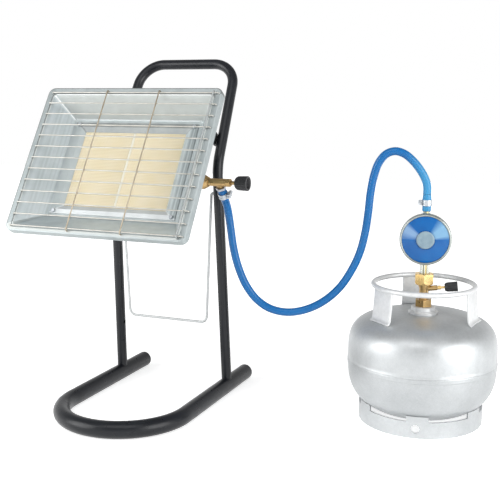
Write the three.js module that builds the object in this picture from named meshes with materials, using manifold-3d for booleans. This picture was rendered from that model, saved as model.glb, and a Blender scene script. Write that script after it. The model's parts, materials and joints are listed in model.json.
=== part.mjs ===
// A portable radiant gas heater: a ceramic burner head on a bent tube stand, joined by a hose and
// a regulator to a small gas cylinder. Millimetres, +X right, the front faces -Y, +Z up.
// The origin is on the floor, under the front of the stand's foot tube.
import * as THREE from "three";
import { mergeVertices } from "three/addons/utils/BufferGeometryUtils.js";
import Module from "manifold-3d";

const wasm = await Module();
wasm.setup();

// ---------------------------------------------------------------- driving dimensions

const GAP = 0.3; // between faces that touch
const HINGE_CLEARANCE = 0.4; // between a hinge pin and its hole, on the radius
const SHEET = 1.0; // pressed steel sheet of the burner head

// Foot: one tube bent to a U that lies on the floor.
const FOOT_TUBE_DIAMETER = 27;
const FOOT_TUBE_WALL = 1.5;
const FOOT_SPACING = 207; // between the centre lines of the two arms
const FOOT_LENGTH = 343.5; // from the front centre line to the arms' ends
const FOOT_CAP_DOME = 6.5;
const FOOT_CAP_SPIGOT = 14;

// Frame: one tube bent into two uprights and a carrying handle.
const FRAME_TUBE_DIAMETER = 17;
const FRAME_TUBE_WALL = 1.2;
const FRAME_SETBACK = 264; // of the uprights behind the front of the foot
const KNEE_HEIGHT = 391;
const KNEE_SPACING = 194.4;
const KNEE_BEND_RADIUS = 70;
const LEAN_BELOW_KNEE = THREE.MathUtils.degToRad(3); // forwards
const LEAN_ABOVE_KNEE = THREE.MathUtils.degToRad(29.9); // backwards
const UPPER_LENGTH = 193.3; // from the knee to the handle's centre line
const HANDLE_SPACING = 179;
const HANDLE_BEND_RADIUS = 43;
const SPARE_HOLE_HEIGHT = 107;

// Wire bail that hangs between the uprights.
const BAIL_WIRE_DIAMETER = 4.5;
const BAIL_PIVOT_HEIGHT = 347.5;
const BAIL_DROP = 222; // from its pivot to its crossbar
const BAIL_TOP_WIDTH = 170;
const BAIL_BOTTOM_WIDTH = 148;
const BAIL_BEND_RADIUS = 11;
const BAIL_ENTRY = 6; // of each end into its tube
const BAIL_HOLE_DIAMETER = 6.4;

// Head: placed by the bolt that it tilts on.
const TILT_HEIGHT = 433.5;
const TILT_BOLT_DIAMETER = 6;
const TILT_BOLT_HEAD = 10; // across flats
const TILT_BOLT_HEAD_HEIGHT = 4;
const TILT_WASHER_DIAMETER = 14;
const TILT_WASHER_THICKNESS = 1.2;
const HEAD_LEAN = THREE.MathUtils.degToRad(32.4); // backwards from upright
const HEAD_WIDTH = 308;
const HEAD_HEIGHT = 252;
const HEAD_CORNER_RADIUS = 11;
const TILT_HEIGHT_OVER_BURNER = 118; // from the middle of the burner up to the tilt bolt
const TILT_DEPTH_BEHIND_RIM = 150;
const RIM_WIDTH = 13;
const RIM_BOTTOM_WIDTH = 10;
const RIM_DROP = 2.6; // of the rim's middle below the burner's
const SKIRT_DEPTH = 12;
const DISH_DEPTH = 37;
const DISH_FLOOR_WIDTH = 230;
const DISH_FLOOR_HEIGHT = 172;
const DISH_CORNER_RADIUS = 5;

// Ceramic burner tiles, two side by side.
const TILE_WIDTH = 92;
const TILE_HEIGHT = 132;
const TILE_THICKNESS = 13;
const TILE_DEPTH = 40.3; // of the tiles' face behind the rim
const GASKET = 2; // between the tiles
const GASKET_BORDER = 3; // round both of them
const TILE_FRAME_LAP_SIDE = 3.7;
const TILE_FRAME_LAP_END = 0.6;
const TILE_FRAME_MARGIN = 5; // from its outer edge to the dish's sloping walls
const TILE_FRAME_SLOPE = 7.5; // width of its sloping inner border
const FRAME_SCREW_ACROSS = 206;
const FRAME_SCREW_UP = 153;

// Burner box behind the tiles.
const TILE_LEDGE = 5;
const BOX_DEPTH = 101.2; // of its back behind the rim
const BOX_CORNER_RADIUS = 8;

// Tilt bracket on the back of the burner box.
const BRACKET_SHEET = 2.5;
const BRACKET_BOTTOM = 22;
const BRACKET_TOP = 54;
const EAR_RADIUS = 11;
const EAR_STRAIGHT = 24; // of its rear end, square to the head
const BRACKET_SCREW_INSET = 18;

// Wire guard in front of the dish.
const GUARD_WIRE_DIAMETER = 2;
const GUARD_ROWS = 13;
const GUARD_STANDOFF = 3; // of the level wires in front of the rim
const GUARD_BEND_RADIUS = 2;
const GUARD_UPRIGHTS = [-0.292, 0.356, 1.004]; // places across it, in half widths of the dish's mouth
const GUARD_SIDE_LAP = 5.85; // of the level wires' ends past the dish's mouth
const GUARD_END_LAP = 5.5; // of the upright wires' ends past it
const GUARD_OVERHANG = 3; // of the upright wires' ends past the outermost level wires
const GUARD_ASIDE = 2.75; // of the level wires' middle to the right of the head's
const GUARD_ROOT = 3; // of the upright wires' ends behind the rim's face

// Heater valve, on the right of the burner box, its axis along X.
const VALVE_UP = 9.3; // above the middle of the burner
const VALVE_BACK = 87.6; // behind the rim
const VALVE_BODY_DIAMETER = 12.2;
const VALVE_BODY_START = 118;
const VALVE_BODY_LENGTH = 34;
const VALVE_TAIL_PLACE = 140;
const VALVE_BOSS_DIAMETER = 10.5;
const VALVE_BOSS_LENGTH = 8.5;
const SHROUD_DIAMETER = 24;
const SHROUD_WALL = 1.2;
const SHROUD_CONE = 8;
const SHROUD_SOCKET = 5;
const AIR_HOLES = 4;
const AIR_HOLE_DIAMETER = 7;
const VENTURI_DIAMETER = 20;
const VENTURI_WALL = 1;
const VENTURI_LENGTH = 130;
const VENTURI_FLANGE_DIAMETER = 24;
const INJECTOR_DIAMETER = 7;
const INJECTOR_LENGTH = 10;
const INJECTOR_BORE = 1.6;
const GLAND_NUT_ACROSS = 12;
const GLAND_NUT_LENGTH = 8;
const SPINDLE_DIAMETER = 6;
const SPINDLE_EXPOSED = 8;
const SPINDLE_SEAT = 7; // of its length inside the valve body
const HEATER_KNOB_DIAMETER = 23;
const HEATER_KNOB_LENGTH = 20.5;
const HEATER_KNOB_RIBS = 20;
const KNOB_RECESS = 5;
const KNOB_GROOVE = 0.9; // depth of the grooves between a knob's ribs
const KNOB_GRIP = 8; // of the spindle inside the knob

// Hose and its fittings.
const HOSE_DIAMETER = 12.5;
const HOSE_BORE = 8;
const HOSE_END_SWELL = 1.4; // of the diameter, over a barb
const BARB_BORE = 4.5;
const TAIL_ANGLE = THREE.MathUtils.degToRad(20.8); // below straight back from the head
const TAIL_NUT_ACROSS = 14;
const TAIL_NUT_LENGTH = 4;
const HEATER_HOSE_END = 25; // length of hose over the heater's barb
const CLAMP_WIDTH = 9;
const CLAMP_THICKNESS = 0.8;
const CLAMP_SCREW_DIAMETER = 4;
const CLAMP_SCREW_LENGTH = 15;
const CLAMP_HOUSING_HEIGHT = 5.5;
const CLAMP_HOUSING_LENGTH = 9;

// The free hose's middle line between the heater's hose end and the regulator's.
const HOSE_ROUTE = [
  [139.8, 187.6, 334.9],
  [140.5, 192.6, 320],
  [143.5, 193.6, 297],
  [148.5, 193, 267],
  [156.5, 193, 238],
  [169, 195, 209],
  [186, 199, 186],
  [207.5, 205, 171.5],
  [234, 213, 166.5],
  [262, 222, 172],
  [288, 230, 186],
  [311, 237, 208],
  [328.5, 242, 236],
  [340.5, 246, 265],
  [347.5, 248.5, 296],
  [351.5, 250, 328],
  [354, 251, 358],
  [358, 252.5, 383],
  [365, 254.5, 405],
  [375.5, 257.5, 418.5],
  [388.5, 261, 423],
  [402, 265.5, 419],
  [415, 269.5, 408],
  [426, 272.5, 394],
  [433.3, 274.6, 380.5],
  [436.3, 275.4, 369.5],
];
const HOSE_STEPS = 42;
const HOSE_SIDES = 8;

// Gas cylinder, standing beside the heater.
const CYLINDER_PLACE = [436.6, 275.4];
const CYLINDER_TURN = THREE.MathUtils.degToRad(11.5);
const SHELL_DIAMETER = 232;
const SHELL_WALL = 2.6;
const SHELL_BOTTOM = 11;
const SEAM_HEIGHT = 95.5;
const SHOULDER_HEIGHT = 105;
const CROWN_HEIGHT = 171;
const LOWER_END_FULLNESS = 2.8; // exponent of the end's outline: 2 is an ellipse, more is squarer
const UPPER_END_FULLNESS = 3.6;
const WELD_BEAD_WIDTH = 5;
const WELD_BEAD_HEIGHT = 0.8;
const NECK_HOLE_DIAMETER = 30;
const FOOT_RING_DIAMETER = 194;
const FOOT_RING_WALL = 2.6;
const FOOT_RING_TOP = 40; // before the shell's underside trims it
const FOOT_SLOTS = 6;
const FOOT_SLOT_FLOOR = 25.5;
const FOOT_SLOT_ARC = THREE.MathUtils.degToRad(40);
const FOOT_SLOT_START = THREE.MathUtils.degToRad(238.2);
const DRAIN_HOLES = 3;
const DRAIN_HOLE_DIAMETER = 13;
const DRAIN_HOLE_HEIGHT = 14.5;
const DRAIN_HOLE_START = THREE.MathUtils.degToRad(266.6);
const HANDLE_RING_DIAMETER = 156; // to the middle of its rod
const HANDLE_RING_ROD = 8.2;
const HANDLE_RING_HEIGHT = 216;
const STRAPS = 3;
const STRAP_WIDTH = 44;
const STRAP_THICKNESS = 3;
const STRAP_LEAN = THREE.MathUtils.degToRad(5.5); // of its foot outwards
const STRAP_START = THREE.MathUtils.degToRad(99.5);
const NECK_BOSS_DIAMETER = 46;
const NECK_BOSS_HEIGHT = 11;
const NECK_STEP_HEIGHT = 5; // of the wider lower part of the boss above the crown
const NECK_COLLAR_DIAMETER = 37;

// Cylinder valve.
const VALVE_HEX_ACROSS = 24;
const VALVE_HEX_HEIGHT = 11;
const VALVE_SHANK_DIAMETER = 19;
const VALVE_SHANK_LENGTH = 30;
const VALVE_STEM_DIAMETER = 14;
const BRANCH_HEIGHT = 16.2; // of its middle above the hexagon
const BRANCH_TILT = THREE.MathUtils.degToRad(6.5); // its far end is the higher
const BRANCH_DIAMETER = 8.4;
const BRANCH_LENGTH = 21;
const BRANCH_GLAND_DIAMETER = 6.8;
const BRANCH_GLAND_LENGTH = 5;
const BRANCH_SPINDLE_DIAMETER = 4;
const BRANCH_SPINDLE_EXPOSED = 5.5;
const CYLINDER_KNOB_DIAMETER = 15.8;
const CYLINDER_KNOB_LENGTH = 20;
const CYLINDER_KNOB_RIBS = 16;
const OUTLET_DIAMETER = 20;
const OUTLET_BOTTOM = 7.5; // above the middle of the branch
const OUTLET_HEIGHT = 8;

// Regulator.
const REGULATOR_RIM_DIAMETER = 81.5;
const REGULATOR_FACE_DIAMETER = 71.5;
const REGULATOR_CAP_DIAMETER = 27.4;
const REGULATOR_CAP_HEIGHT = 2.4;
const REGULATOR_FLANGE = 3;
const REGULATOR_BODY_DEPTH = 20;
const REGULATOR_BODY_BACK_DIAMETER = 46;
const REGULATOR_WALL = 2.5;
const REGULATOR_MIDDLE = 11.5; // of its stems behind the diaphragm
const COVER_DEPTH = 10;
const COVER_WALL = 1.5;
const FACE_THICKNESS = 1.2;
const DIAPHRAGM_THICKNESS = 1;
const REGULATOR_SPRING_DIAMETER = 18;
const REGULATOR_SPRING_WIRE = 1.6;
const REGULATOR_SPRING_TURNS = 3;
const INLET_STEM_DIAMETER = 16;
const INLET_STEM_LENGTH = 15.5; // between the coupling nut and the regulator's rim
const INLET_COLLAR_DIAMETER = 19.6;
const INLET_COLLAR_HEIGHT = 3;
const WASHER_THICKNESS = 1.6;
const COUPLING_NUT_ACROSS = 27.5;
const COUPLING_NUT_HEIGHT = 17;
const COUPLING_NUT_WALL_TOP = 3.5;
const OUTLET_NECK_DIAMETER = 12;
const OUTLET_NECK_LENGTH = 0.3;
const REGULATOR_HOSE_END = 26;

// ---------------------------------------------------------------- materials

const finish = (color, roughness, metalness) =>
  new THREE.MeshStandardMaterial({ color, roughness, metalness });
const BLACK_PAINT = finish(0x26282b, 0.42, 0.2);
const BLACK_PLASTIC = finish(0x17181a, 0.55, 0);
const GALVANISED = finish(0xb9c4c8, 0.35, 0.85);
const BRIGHT_WIRE = finish(0xc9c9c2, 0.3, 0.9);
const GREY_WIRE = finish(0xc4c6c6, 0.4, 0.6);
const CERAMIC = finish(0xf0e3bb, 0.9, 0);
const FIBRE = finish(0xeee9da, 0.95, 0);
const BRASS = finish(0xb08a48, 0.35, 0.9);
const ZINC = finish(0xbfc4ca, 0.3, 0.9);
const STEEL = finish(0x8d9196, 0.4, 0.85);
const BLUE_HOSE = finish(0x2d7fc4, 0.4, 0);
const BLUE_ENAMEL = finish(0x1f6fc0, 0.25, 0.1);
const GREY_PLASTIC = finish(0xa9b6bd, 0.5, 0);
const RUBBER = finish(0x1c1c1c, 0.8, 0);
const SILVER_PAINT = finish(0xc3c8cb, 0.4, 0.5);

// ---------------------------------------------------------------- shape helpers

const MERGE_DISTANCE = 1e-4;
const REACH = 1000; // longer than any piece, for cutters
const SKIN = 1; // by which a cutter passes a face that it cuts through
const BORE_SIDES = 8; // of the hidden inside of a bent tube

// A closed geometry as a solid that can be joined and cut.
function solidOf(geometry) {
  const bare = new THREE.BufferGeometry();
  const loose = geometry.index ? geometry.toNonIndexed() : geometry;
  bare.setAttribute("position", loose.getAttribute("position"));
  const merged = mergeVertices(bare, MERGE_DISTANCE);
  const corner = merged.index.array;
  const triangles = [];
  for (let i = 0; i < corner.length; i += 3) {
    const [a, b, c] = corner.slice(i, i + 3);
    if (a !== b && b !== c && c !== a) triangles.push(a, b, c);
  }
  const mesh = new wasm.Mesh({
    numProp: 3,
    vertProperties: merged.attributes.position.array,
    triVerts: new Uint32Array(triangles),
  });
  return new wasm.Manifold(mesh);
}

const joined = (...geometries) => geometries.map(solidOf).reduce((whole, next) => whole.add(next));
const cut = (body, ...cutters) => cutters.reduce((rest, cutter) => rest.subtract(solidOf(cutter)), body);

function geometryOf(solid) {
  const made = solid.getMesh();
  const geometry = new THREE.BufferGeometry();
  geometry.setAttribute("position", new THREE.BufferAttribute(made.vertProperties, 3));
  geometry.setIndex(new THREE.BufferAttribute(made.triVerts, 1));
  return geometry;
}

function piece(name, shape, material) {
  const geometry = shape.isBufferGeometry ? geometryOf(solidOf(shape)) : geometryOf(shape);
  geometry.computeVertexNormals();
  const mesh = new THREE.Mesh(geometry, material);
  mesh.name = name;
  return mesh;
}

function groupOf(...children) {
  const group = new THREE.Group();
  group.add(...children);
  return group;
}

// Turned about the Z axis, from a closed profile of [radius, height] that runs anticlockwise.
function turned(profile, sides) {
  const points = profile.map(([radius, height]) => new THREE.Vector2(radius, height));
  return new THREE.LatheGeometry(points, sides).rotateX(Math.PI / 2);
}

const closed = (profile) => [...profile, profile[0]];

// A disc or rod about Z from one height to another, and a tube of the same kind.
const rod = (radius, low, high, sides) =>
  turned([[0, low], [radius, low], [radius, high], [0, high]], sides);
const tube = (radius, bore, low, high, sides) =>
  turned(closed([[bore, low], [radius, low], [radius, high], [bore, high]]), sides);

const hexRod = (across, low, high) => rod(across / 2 / Math.cos(Math.PI / 6), low, high, 6);

const alongX = (geometry) => geometry.rotateY(Math.PI / 2);
const alongMinusY = (geometry) => geometry.rotateX(Math.PI / 2);

function block([x0, x1], [y0, y1], [z0, z1]) {
  return new THREE.BoxGeometry(x1 - x0, y1 - y0, z1 - z0).translate(
    (x0 + x1) / 2,
    (y0 + y1) / 2,
    (z0 + z1) / 2,
  );
}

function roundedRectangle(width, height, radius) {
  const arcSteps = radius > 8 ? 3 : 2;
  const points = [];
  const corners = [[1, 1], [-1, 1], [-1, -1], [1, -1]];
  corners.forEach(([right, up], quarter) => {
    for (let i = 0; i <= arcSteps; i++) {
      const angle = (Math.PI / 2) * (quarter + i / arcSteps);
      points.push(
        new THREE.Vector2(
          right * (width / 2 - radius) + radius * Math.cos(angle),
          up * (height / 2 - radius) + radius * Math.sin(angle),
        ),
      );
    }
  });
  return points;
}

function extruded(outline, low, high) {
  const shape = new THREE.Shape(outline);
  const options = { depth: high - low, bevelEnabled: false };
  return new THREE.ExtrudeGeometry(shape, options).translate(0, 0, low);
}

// A closed body between two outlines of as many points, the first at the lower height.
function lofted(lowOutline, low, highOutline, high) {
  const count = lowOutline.length;
  const positions = [...lowOutline.map((p) => [p.x, p.y, low]), ...highOutline.map((p) => [p.x, p.y, high])];
  const indices = [];
  for (let i = 0; i < count; i++) {
    const next = (i + 1) % count;
    indices.push(i, next, count + next, i, count + next, count + i);
  }
  for (const [a, b, c] of THREE.ShapeUtils.triangulateShape(lowOutline, [])) indices.push(a, c, b);
  for (const [a, b, c] of THREE.ShapeUtils.triangulateShape(highOutline, []))
    indices.push(count + a, count + b, count + c);
  const geometry = new THREE.BufferGeometry();
  geometry.setAttribute("position", new THREE.Float32BufferAttribute(positions.flat(), 3));
  geometry.setIndex(indices);
  return geometry;
}

// The middle line of a bent wire or tube: straight runs joined by round bends.
class BentPath extends THREE.Curve {
  constructor(corners, bends, stepsPerBend) {
    super();
    this.stations = [];
    const points = corners.map((corner) => new THREE.Vector3(...corner));
    const last = points.length - 1;
    const direction = (i) => points[i + 1].clone().sub(points[i]).normalize();
    this.add(points[0], direction(0));
    for (let i = 1; i < last; i++) {
      this.addBend(points[i], direction(i - 1), direction(i), bends[i - 1], stepsPerBend);
    }
    this.add(points[last], direction(last - 1));
  }

  add(point, tangent) {
    const before = this.stations.at(-1);
    if (!before || before.point.distanceTo(point) > SKIN / 10) this.stations.push({ point, tangent });
  }

  addBend(corner, from, to, radius, steps) {
    const turn = from.angleTo(to);
    const inward = to.clone().addScaledVector(from, -from.dot(to)).normalize();
    const start = corner.clone().addScaledVector(from, -radius * Math.tan(turn / 2));
    for (let i = 0; i <= steps; i++) {
      const angle = (turn * i) / steps;
      const along = radius * Math.sin(angle);
      const across = radius * (1 - Math.cos(angle));
      const point = start.clone().addScaledVector(from, along).addScaledVector(inward, across);
      const tangent = from.clone().multiplyScalar(Math.cos(angle)).addScaledVector(inward, Math.sin(angle));
      this.add(point, tangent);
    }
  }

  get steps() {
    return this.stations.length - 1;
  }

  between(t, key, target) {
    const place = t * this.steps;
    const i = Math.min(Math.floor(place), this.steps - 1);
    return target.lerpVectors(this.stations[i][key], this.stations[i + 1][key], place - i);
  }

  getPoint(t, target = new THREE.Vector3()) {
    return this.between(t, "point", target);
  }

  getTangent(t, target = new THREE.Vector3()) {
    return this.between(t, "tangent", target).normalize();
  }

  getPointAt(u, target) {
    return this.getPoint(u, target);
  }

  getTangentAt(u, target) {
    return this.getTangent(u, target);
  }
}

// A round section drawn by its flats, so that the flats lie at the true radius.
function roundOutline(radius, sides) {
  const corner = radius / Math.cos(Math.PI / sides);
  return Array.from({ length: sides }, (_, i) => {
    const angle = ((i + 0.5) * 2 * Math.PI) / sides;
    return new THREE.Vector2(corner * Math.cos(angle), corner * Math.sin(angle));
  });
}

function swept(path, steps, radius, sides, bore = 0) {
  const section = new THREE.Shape(roundOutline(radius, sides));
  if (bore > 0) section.holes.push(new THREE.Path(roundOutline(bore, BORE_SIDES)));
  return new THREE.ExtrudeGeometry(section, { steps, bevelEnabled: false, extrudePath: path });
}

// ---------------------------------------------------------------- stand

const footRadius = FOOT_TUBE_DIAMETER / 2;
const frameRadius = FRAME_TUBE_DIAMETER / 2;
const TUBE_SIDES = 12;
const BEND_STEPS = 5;

function floorFoot() {
  const half = FOOT_SPACING / 2;
  const corners = [
    [-half, FOOT_LENGTH, footRadius],
    [-half, 0, footRadius],
    [half, 0, footRadius],
    [half, FOOT_LENGTH, footRadius],
  ];
  const path = new BentPath(corners, [half, half], 2 * BEND_STEPS);
  return piece(
    "floor_foot",
    swept(path, path.steps, footRadius, TUBE_SIDES, footRadius - FOOT_TUBE_WALL),
    BLACK_PAINT,
  );
}

// A domed plug, its spigot pointing down -Z and its dome up +Z from z = 0.
function footCap(name, side) {
  const spigot = footRadius - FOOT_TUBE_WALL - GAP;
  const dome = [];
  for (let i = 0; i <= 4; i++) {
    const angle = (Math.PI / 2) * (i / 4);
    dome.push([footRadius * Math.cos(angle), GAP + FOOT_CAP_DOME * Math.sin(angle)]);
  }
  const profile = [[0, -FOOT_CAP_SPIGOT], [spigot, -FOOT_CAP_SPIGOT], [spigot, GAP], ...dome];
  profile[profile.length - 1][0] = 0;
  const cap = piece(name, turned(profile, TUBE_SIDES), BLACK_PLASTIC);
  cap.rotation.x = -Math.PI / 2;
  cap.position.set((side * FOOT_SPACING) / 2, FOOT_LENGTH, footRadius);
  return cap;
}

// Where the right upright's centre line is at a height.
function uprightAt(height) {
  const kneeY = FRAME_SETBACK - Math.tan(LEAN_BELOW_KNEE) * (KNEE_HEIGHT - footRadius);
  if (height <= KNEE_HEIGHT) {
    const part = (height - footRadius) / (KNEE_HEIGHT - footRadius);
    const x = THREE.MathUtils.lerp(FOOT_SPACING, KNEE_SPACING, part) / 2;
    return new THREE.Vector3(x, THREE.MathUtils.lerp(FRAME_SETBACK, kneeY, part), height);
  }
  const rise = height - KNEE_HEIGHT;
  const part = rise / (UPPER_LENGTH * Math.cos(LEAN_ABOVE_KNEE));
  const x = THREE.MathUtils.lerp(KNEE_SPACING, HANDLE_SPACING, part) / 2;
  return new THREE.Vector3(x, kneeY + rise * Math.tan(LEAN_ABOVE_KNEE), height);
}

const handleHeight = KNEE_HEIGHT + UPPER_LENGTH * Math.cos(LEAN_ABOVE_KNEE);
const bailPivot = uprightAt(BAIL_PIVOT_HEIGHT);
const tiltPivot = uprightAt(TILT_HEIGHT);
const bailRadius = BAIL_WIRE_DIAMETER / 2;
const tiltBoltRadius = TILT_BOLT_DIAMETER / 2;

// A hole through the inner wall of the right upright, along X.
function uprightHole(radius, height) {
  const at = uprightAt(height);
  return alongX(rod(radius, -2 * frameRadius, 0, 10)).translate(at.x, at.y, at.z);
}

function frameTube() {
  const right = [footRadius, KNEE_HEIGHT, handleHeight].map(uprightAt);
  const left = right.map((p) => [-p.x, p.y, p.z]);
  const corners = [...left, ...right.map((p) => [p.x, p.y, p.z]).reverse()];
  const bends = [KNEE_BEND_RADIUS, HANDLE_BEND_RADIUS, HANDLE_BEND_RADIUS, KNEE_BEND_RADIUS];
  const path = new BentPath(corners, bends, BEND_STEPS);
  const whole = solidOf(swept(path, path.steps, frameRadius, TUBE_SIDES, frameRadius - FRAME_TUBE_WALL));
  const cutters = [];
  for (const side of [-1, 1]) {
    const saddle = rod(footRadius + 2 * GAP, -REACH, REACH, 2 * TUBE_SIDES).rotateX(Math.PI / 2);
    cutters.push(saddle.translate((side * FOOT_SPACING) / 2, 0, footRadius));
    for (const [radius, height] of [
      [BAIL_HOLE_DIAMETER / 2, BAIL_PIVOT_HEIGHT],
      [BAIL_HOLE_DIAMETER / 2, SPARE_HOLE_HEIGHT],
      [tiltBoltRadius + GAP, TILT_HEIGHT],
    ]) {
      const hole = uprightHole(radius, height);
      cutters.push(side > 0 ? hole : hole.rotateZ(Math.PI).translate(0, 2 * uprightAt(height).y, 0));
    }
  }
  return piece("frame_tube", cut(whole, ...cutters), BLACK_PAINT);
}

function wireBail() {
  const end = bailPivot.x - frameRadius + BAIL_ENTRY;
  const top = BAIL_TOP_WIDTH / 2;
  const bottom = BAIL_BOTTOM_WIDTH / 2;
  const low = BAIL_PIVOT_HEIGHT - BAIL_DROP;
  const right = [[end, BAIL_PIVOT_HEIGHT], [top, BAIL_PIVOT_HEIGHT], [bottom, low]];
  const corners = [
    ...right.map(([x, z]) => [-x, bailPivot.y, z]),
    ...right.map(([x, z]) => [x, bailPivot.y, z]).reverse(),
  ];
  const small = BAIL_BEND_RADIUS / 2;
  const path = new BentPath(corners, [small, BAIL_BEND_RADIUS, BAIL_BEND_RADIUS, small], 3);
  return piece("wire_bail", swept(path, path.steps, bailRadius, 6), GREY_WIRE);
}

const uprightSlope = (KNEE_SPACING - HANDLE_SPACING) / 2 / (UPPER_LENGTH * Math.cos(LEAN_ABOVE_KNEE));
const tiltWasherFace = tiltPivot.x - frameRadius - GAP - (uprightSlope * TILT_WASHER_DIAMETER) / 2;
const earFace = tiltWasherFace - TILT_WASHER_THICKNESS - GAP;
const tiltBoltSeat = earFace - BRACKET_SHEET - GAP;

function tiltWasher(name, side) {
  const low = tiltWasherFace - TILT_WASHER_THICKNESS;
  const ring = tube(TILT_WASHER_DIAMETER / 2, tiltBoltRadius + GAP, low, tiltWasherFace, 16);
  const washer = piece(name, alongX(ring), STEEL);
  washer.position.set(0, tiltPivot.y, tiltPivot.z);
  washer.rotation.z = side > 0 ? 0 : Math.PI;
  return washer;
}

function tiltBolt(name, side) {
  const tip = tiltPivot.x;
  const shank = rod(tiltBoltRadius, tiltBoltSeat - SKIN, tip, 12);
  const head = hexRod(TILT_BOLT_HEAD, tiltBoltSeat - TILT_BOLT_HEAD_HEIGHT, tiltBoltSeat);
  const bolt = piece(name, joined(alongX(shank), alongX(head)), STEEL);
  bolt.position.set(0, tiltPivot.y, tiltPivot.z);
  bolt.rotation.z = side > 0 ? 0 : Math.PI;
  return bolt;
}

// ---------------------------------------------------------------- head
// In the head's own frame X is right, Y runs up the rim and Z out of its face; z = 0 is the rim.

const windowWidth = HEAD_WIDTH - 2 * RIM_WIDTH;
const windowHeight = HEAD_HEIGHT - RIM_WIDTH - RIM_BOTTOM_WIDTH;
const windowDrop = RIM_DROP + (RIM_WIDTH - RIM_BOTTOM_WIDTH) / 2;
const tilesWidth = 2 * TILE_WIDTH + GASKET + 2 * GAP;
const packWidth = tilesWidth + 2 * GASKET_BORDER + 2 * GAP;
const packHeight = TILE_HEIGHT + 2 * GASKET_BORDER + 2 * GAP;
const mouthWidth = packWidth + 2 * GAP;
const mouthHeight = packHeight + 2 * GAP;
const frameWindowWidth = tilesWidth - 2 * TILE_FRAME_LAP_SIDE;
const frameWindowHeight = TILE_HEIGHT - 2 * TILE_FRAME_LAP_END;
const boxFlangeDepth = DISH_DEPTH + SHEET + GAP;
const tileFrameDepth = DISH_DEPTH - GAP - SHEET;

const outline = (width, height, radius, grow = 0) =>
  roundedRectangle(width + 2 * grow, height + 2 * grow, radius + grow);
const lowered = (points, drop) => points.map((p) => new THREE.Vector2(p.x, p.y - drop));

function reflector() {
  const rim = (inset) =>
    lowered(outline(HEAD_WIDTH, HEAD_HEIGHT, HEAD_CORNER_RADIUS, -inset), RIM_DROP);
  const dishTop = (grow) =>
    lowered(outline(windowWidth, windowHeight, DISH_CORNER_RADIUS, grow), windowDrop);
  const dishFloor = (grow) => outline(DISH_FLOOR_WIDTH, DISH_FLOOR_HEIGHT, DISH_CORNER_RADIUS, grow);
  const wall = SHEET;
  const skirt = cut(
    solidOf(extruded(rim(0), -SKIRT_DEPTH, 0)),
    extruded(rim(SHEET), -SKIRT_DEPTH - SKIN, -SHEET),
  );
  const dish = solidOf(lofted(dishFloor(wall), -DISH_DEPTH - SHEET, dishTop(wall), 0));
  const hollow = lofted(dishFloor(0), -DISH_DEPTH, dishTop(0), 0);
  const mouth = extruded(dishTop(0), -SHEET / 2, SKIN);
  const opening = outline(
    frameWindowWidth + 2 * (TILE_FRAME_SLOPE + SHEET + GAP),
    frameWindowHeight + 2 * (TILE_FRAME_SLOPE + SHEET + GAP),
    DISH_CORNER_RADIUS,
  );
  const floorHole = extruded(opening, -DISH_DEPTH - SHEET - SKIN, -DISH_DEPTH + SKIN);
  return piece(
    "reflector",
    cut(skirt.add(dish), hollow, mouth, floorHole, ...frameScrewHoles(), ...guardHoles()),
    GALVANISED,
  );
}

const frameScrewPlaces = [-1, 1].flatMap((across) =>
  [-1, 1].map((up) => [(across * FRAME_SCREW_ACROSS) / 2, (up * FRAME_SCREW_UP) / 2]),
);
const SCREW_RADIUS = 2;
const SCREW_TIP = 2.5; // of a screw past the last sheet that it holds

function frameScrewHoles() {
  return frameScrewPlaces.map(([x, y]) => rod(SCREW_RADIUS + GAP, -REACH, REACH, 8).translate(x, y, 0));
}

// A pan-head screw whose seat is at z = 0, its point towards -Z.
function screw(name, [x, y], seat, length) {
  const head = SCREW_RADIUS * 1.9;
  const height = SCREW_RADIUS * 1.1;
  const profile = [
    [0, -length],
    [SCREW_RADIUS, -length],
    [SCREW_RADIUS, 0],
    [head, 0],
    [head * 0.8, height],
    [0, height],
  ];
  const made = piece(name, turned(profile, 8), ZINC);
  made.position.set(x, y, seat);
  return made;
}

function tileFrame() {
  const slopeWidth = frameWindowWidth + 2 * TILE_FRAME_SLOPE;
  const slopeHeight = frameWindowHeight + 2 * TILE_FRAME_SLOPE;
  const tipDepth = TILE_DEPTH - GAP;
  const flat = extruded(
    outline(DISH_FLOOR_WIDTH, DISH_FLOOR_HEIGHT, DISH_CORNER_RADIUS, -TILE_FRAME_MARGIN),
    -tileFrameDepth - SHEET,
    -tileFrameDepth,
  );
  const slopeTop = (grow) => outline(slopeWidth, slopeHeight, SHEET * 2, grow);
  const slopeTip = (grow) => outline(frameWindowWidth, frameWindowHeight, SHEET, grow);
  const slope = lofted(slopeTip(SHEET), -tipDepth, slopeTop(SHEET), -tileFrameDepth);
  const hollow = lofted(slopeTip(0), -tipDepth, slopeTop(0), -tileFrameDepth);
  const opening = extruded(slopeTip(0), -tipDepth - SKIN, -tileFrameDepth);
  const above = extruded(slopeTop(0), -tileFrameDepth - SHEET / 10, SKIN);
  return piece(
    "tile_frame",
    cut(joined(flat, slope), hollow, opening, above, ...frameScrewHoles()),
    GALVANISED,
  );
}

function ceramicTile(name, side) {
  const inner = side * (GASKET / 2 + GAP);
  const outer = side * (GASKET / 2 + GAP + TILE_WIDTH);
  const tile = block(
    [Math.min(inner, outer), Math.max(inner, outer)],
    [-TILE_HEIGHT / 2, TILE_HEIGHT / 2],
    [-TILE_DEPTH - TILE_THICKNESS, -TILE_DEPTH],
  );
  return piece(name, tile, CERAMIC);
}

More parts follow.
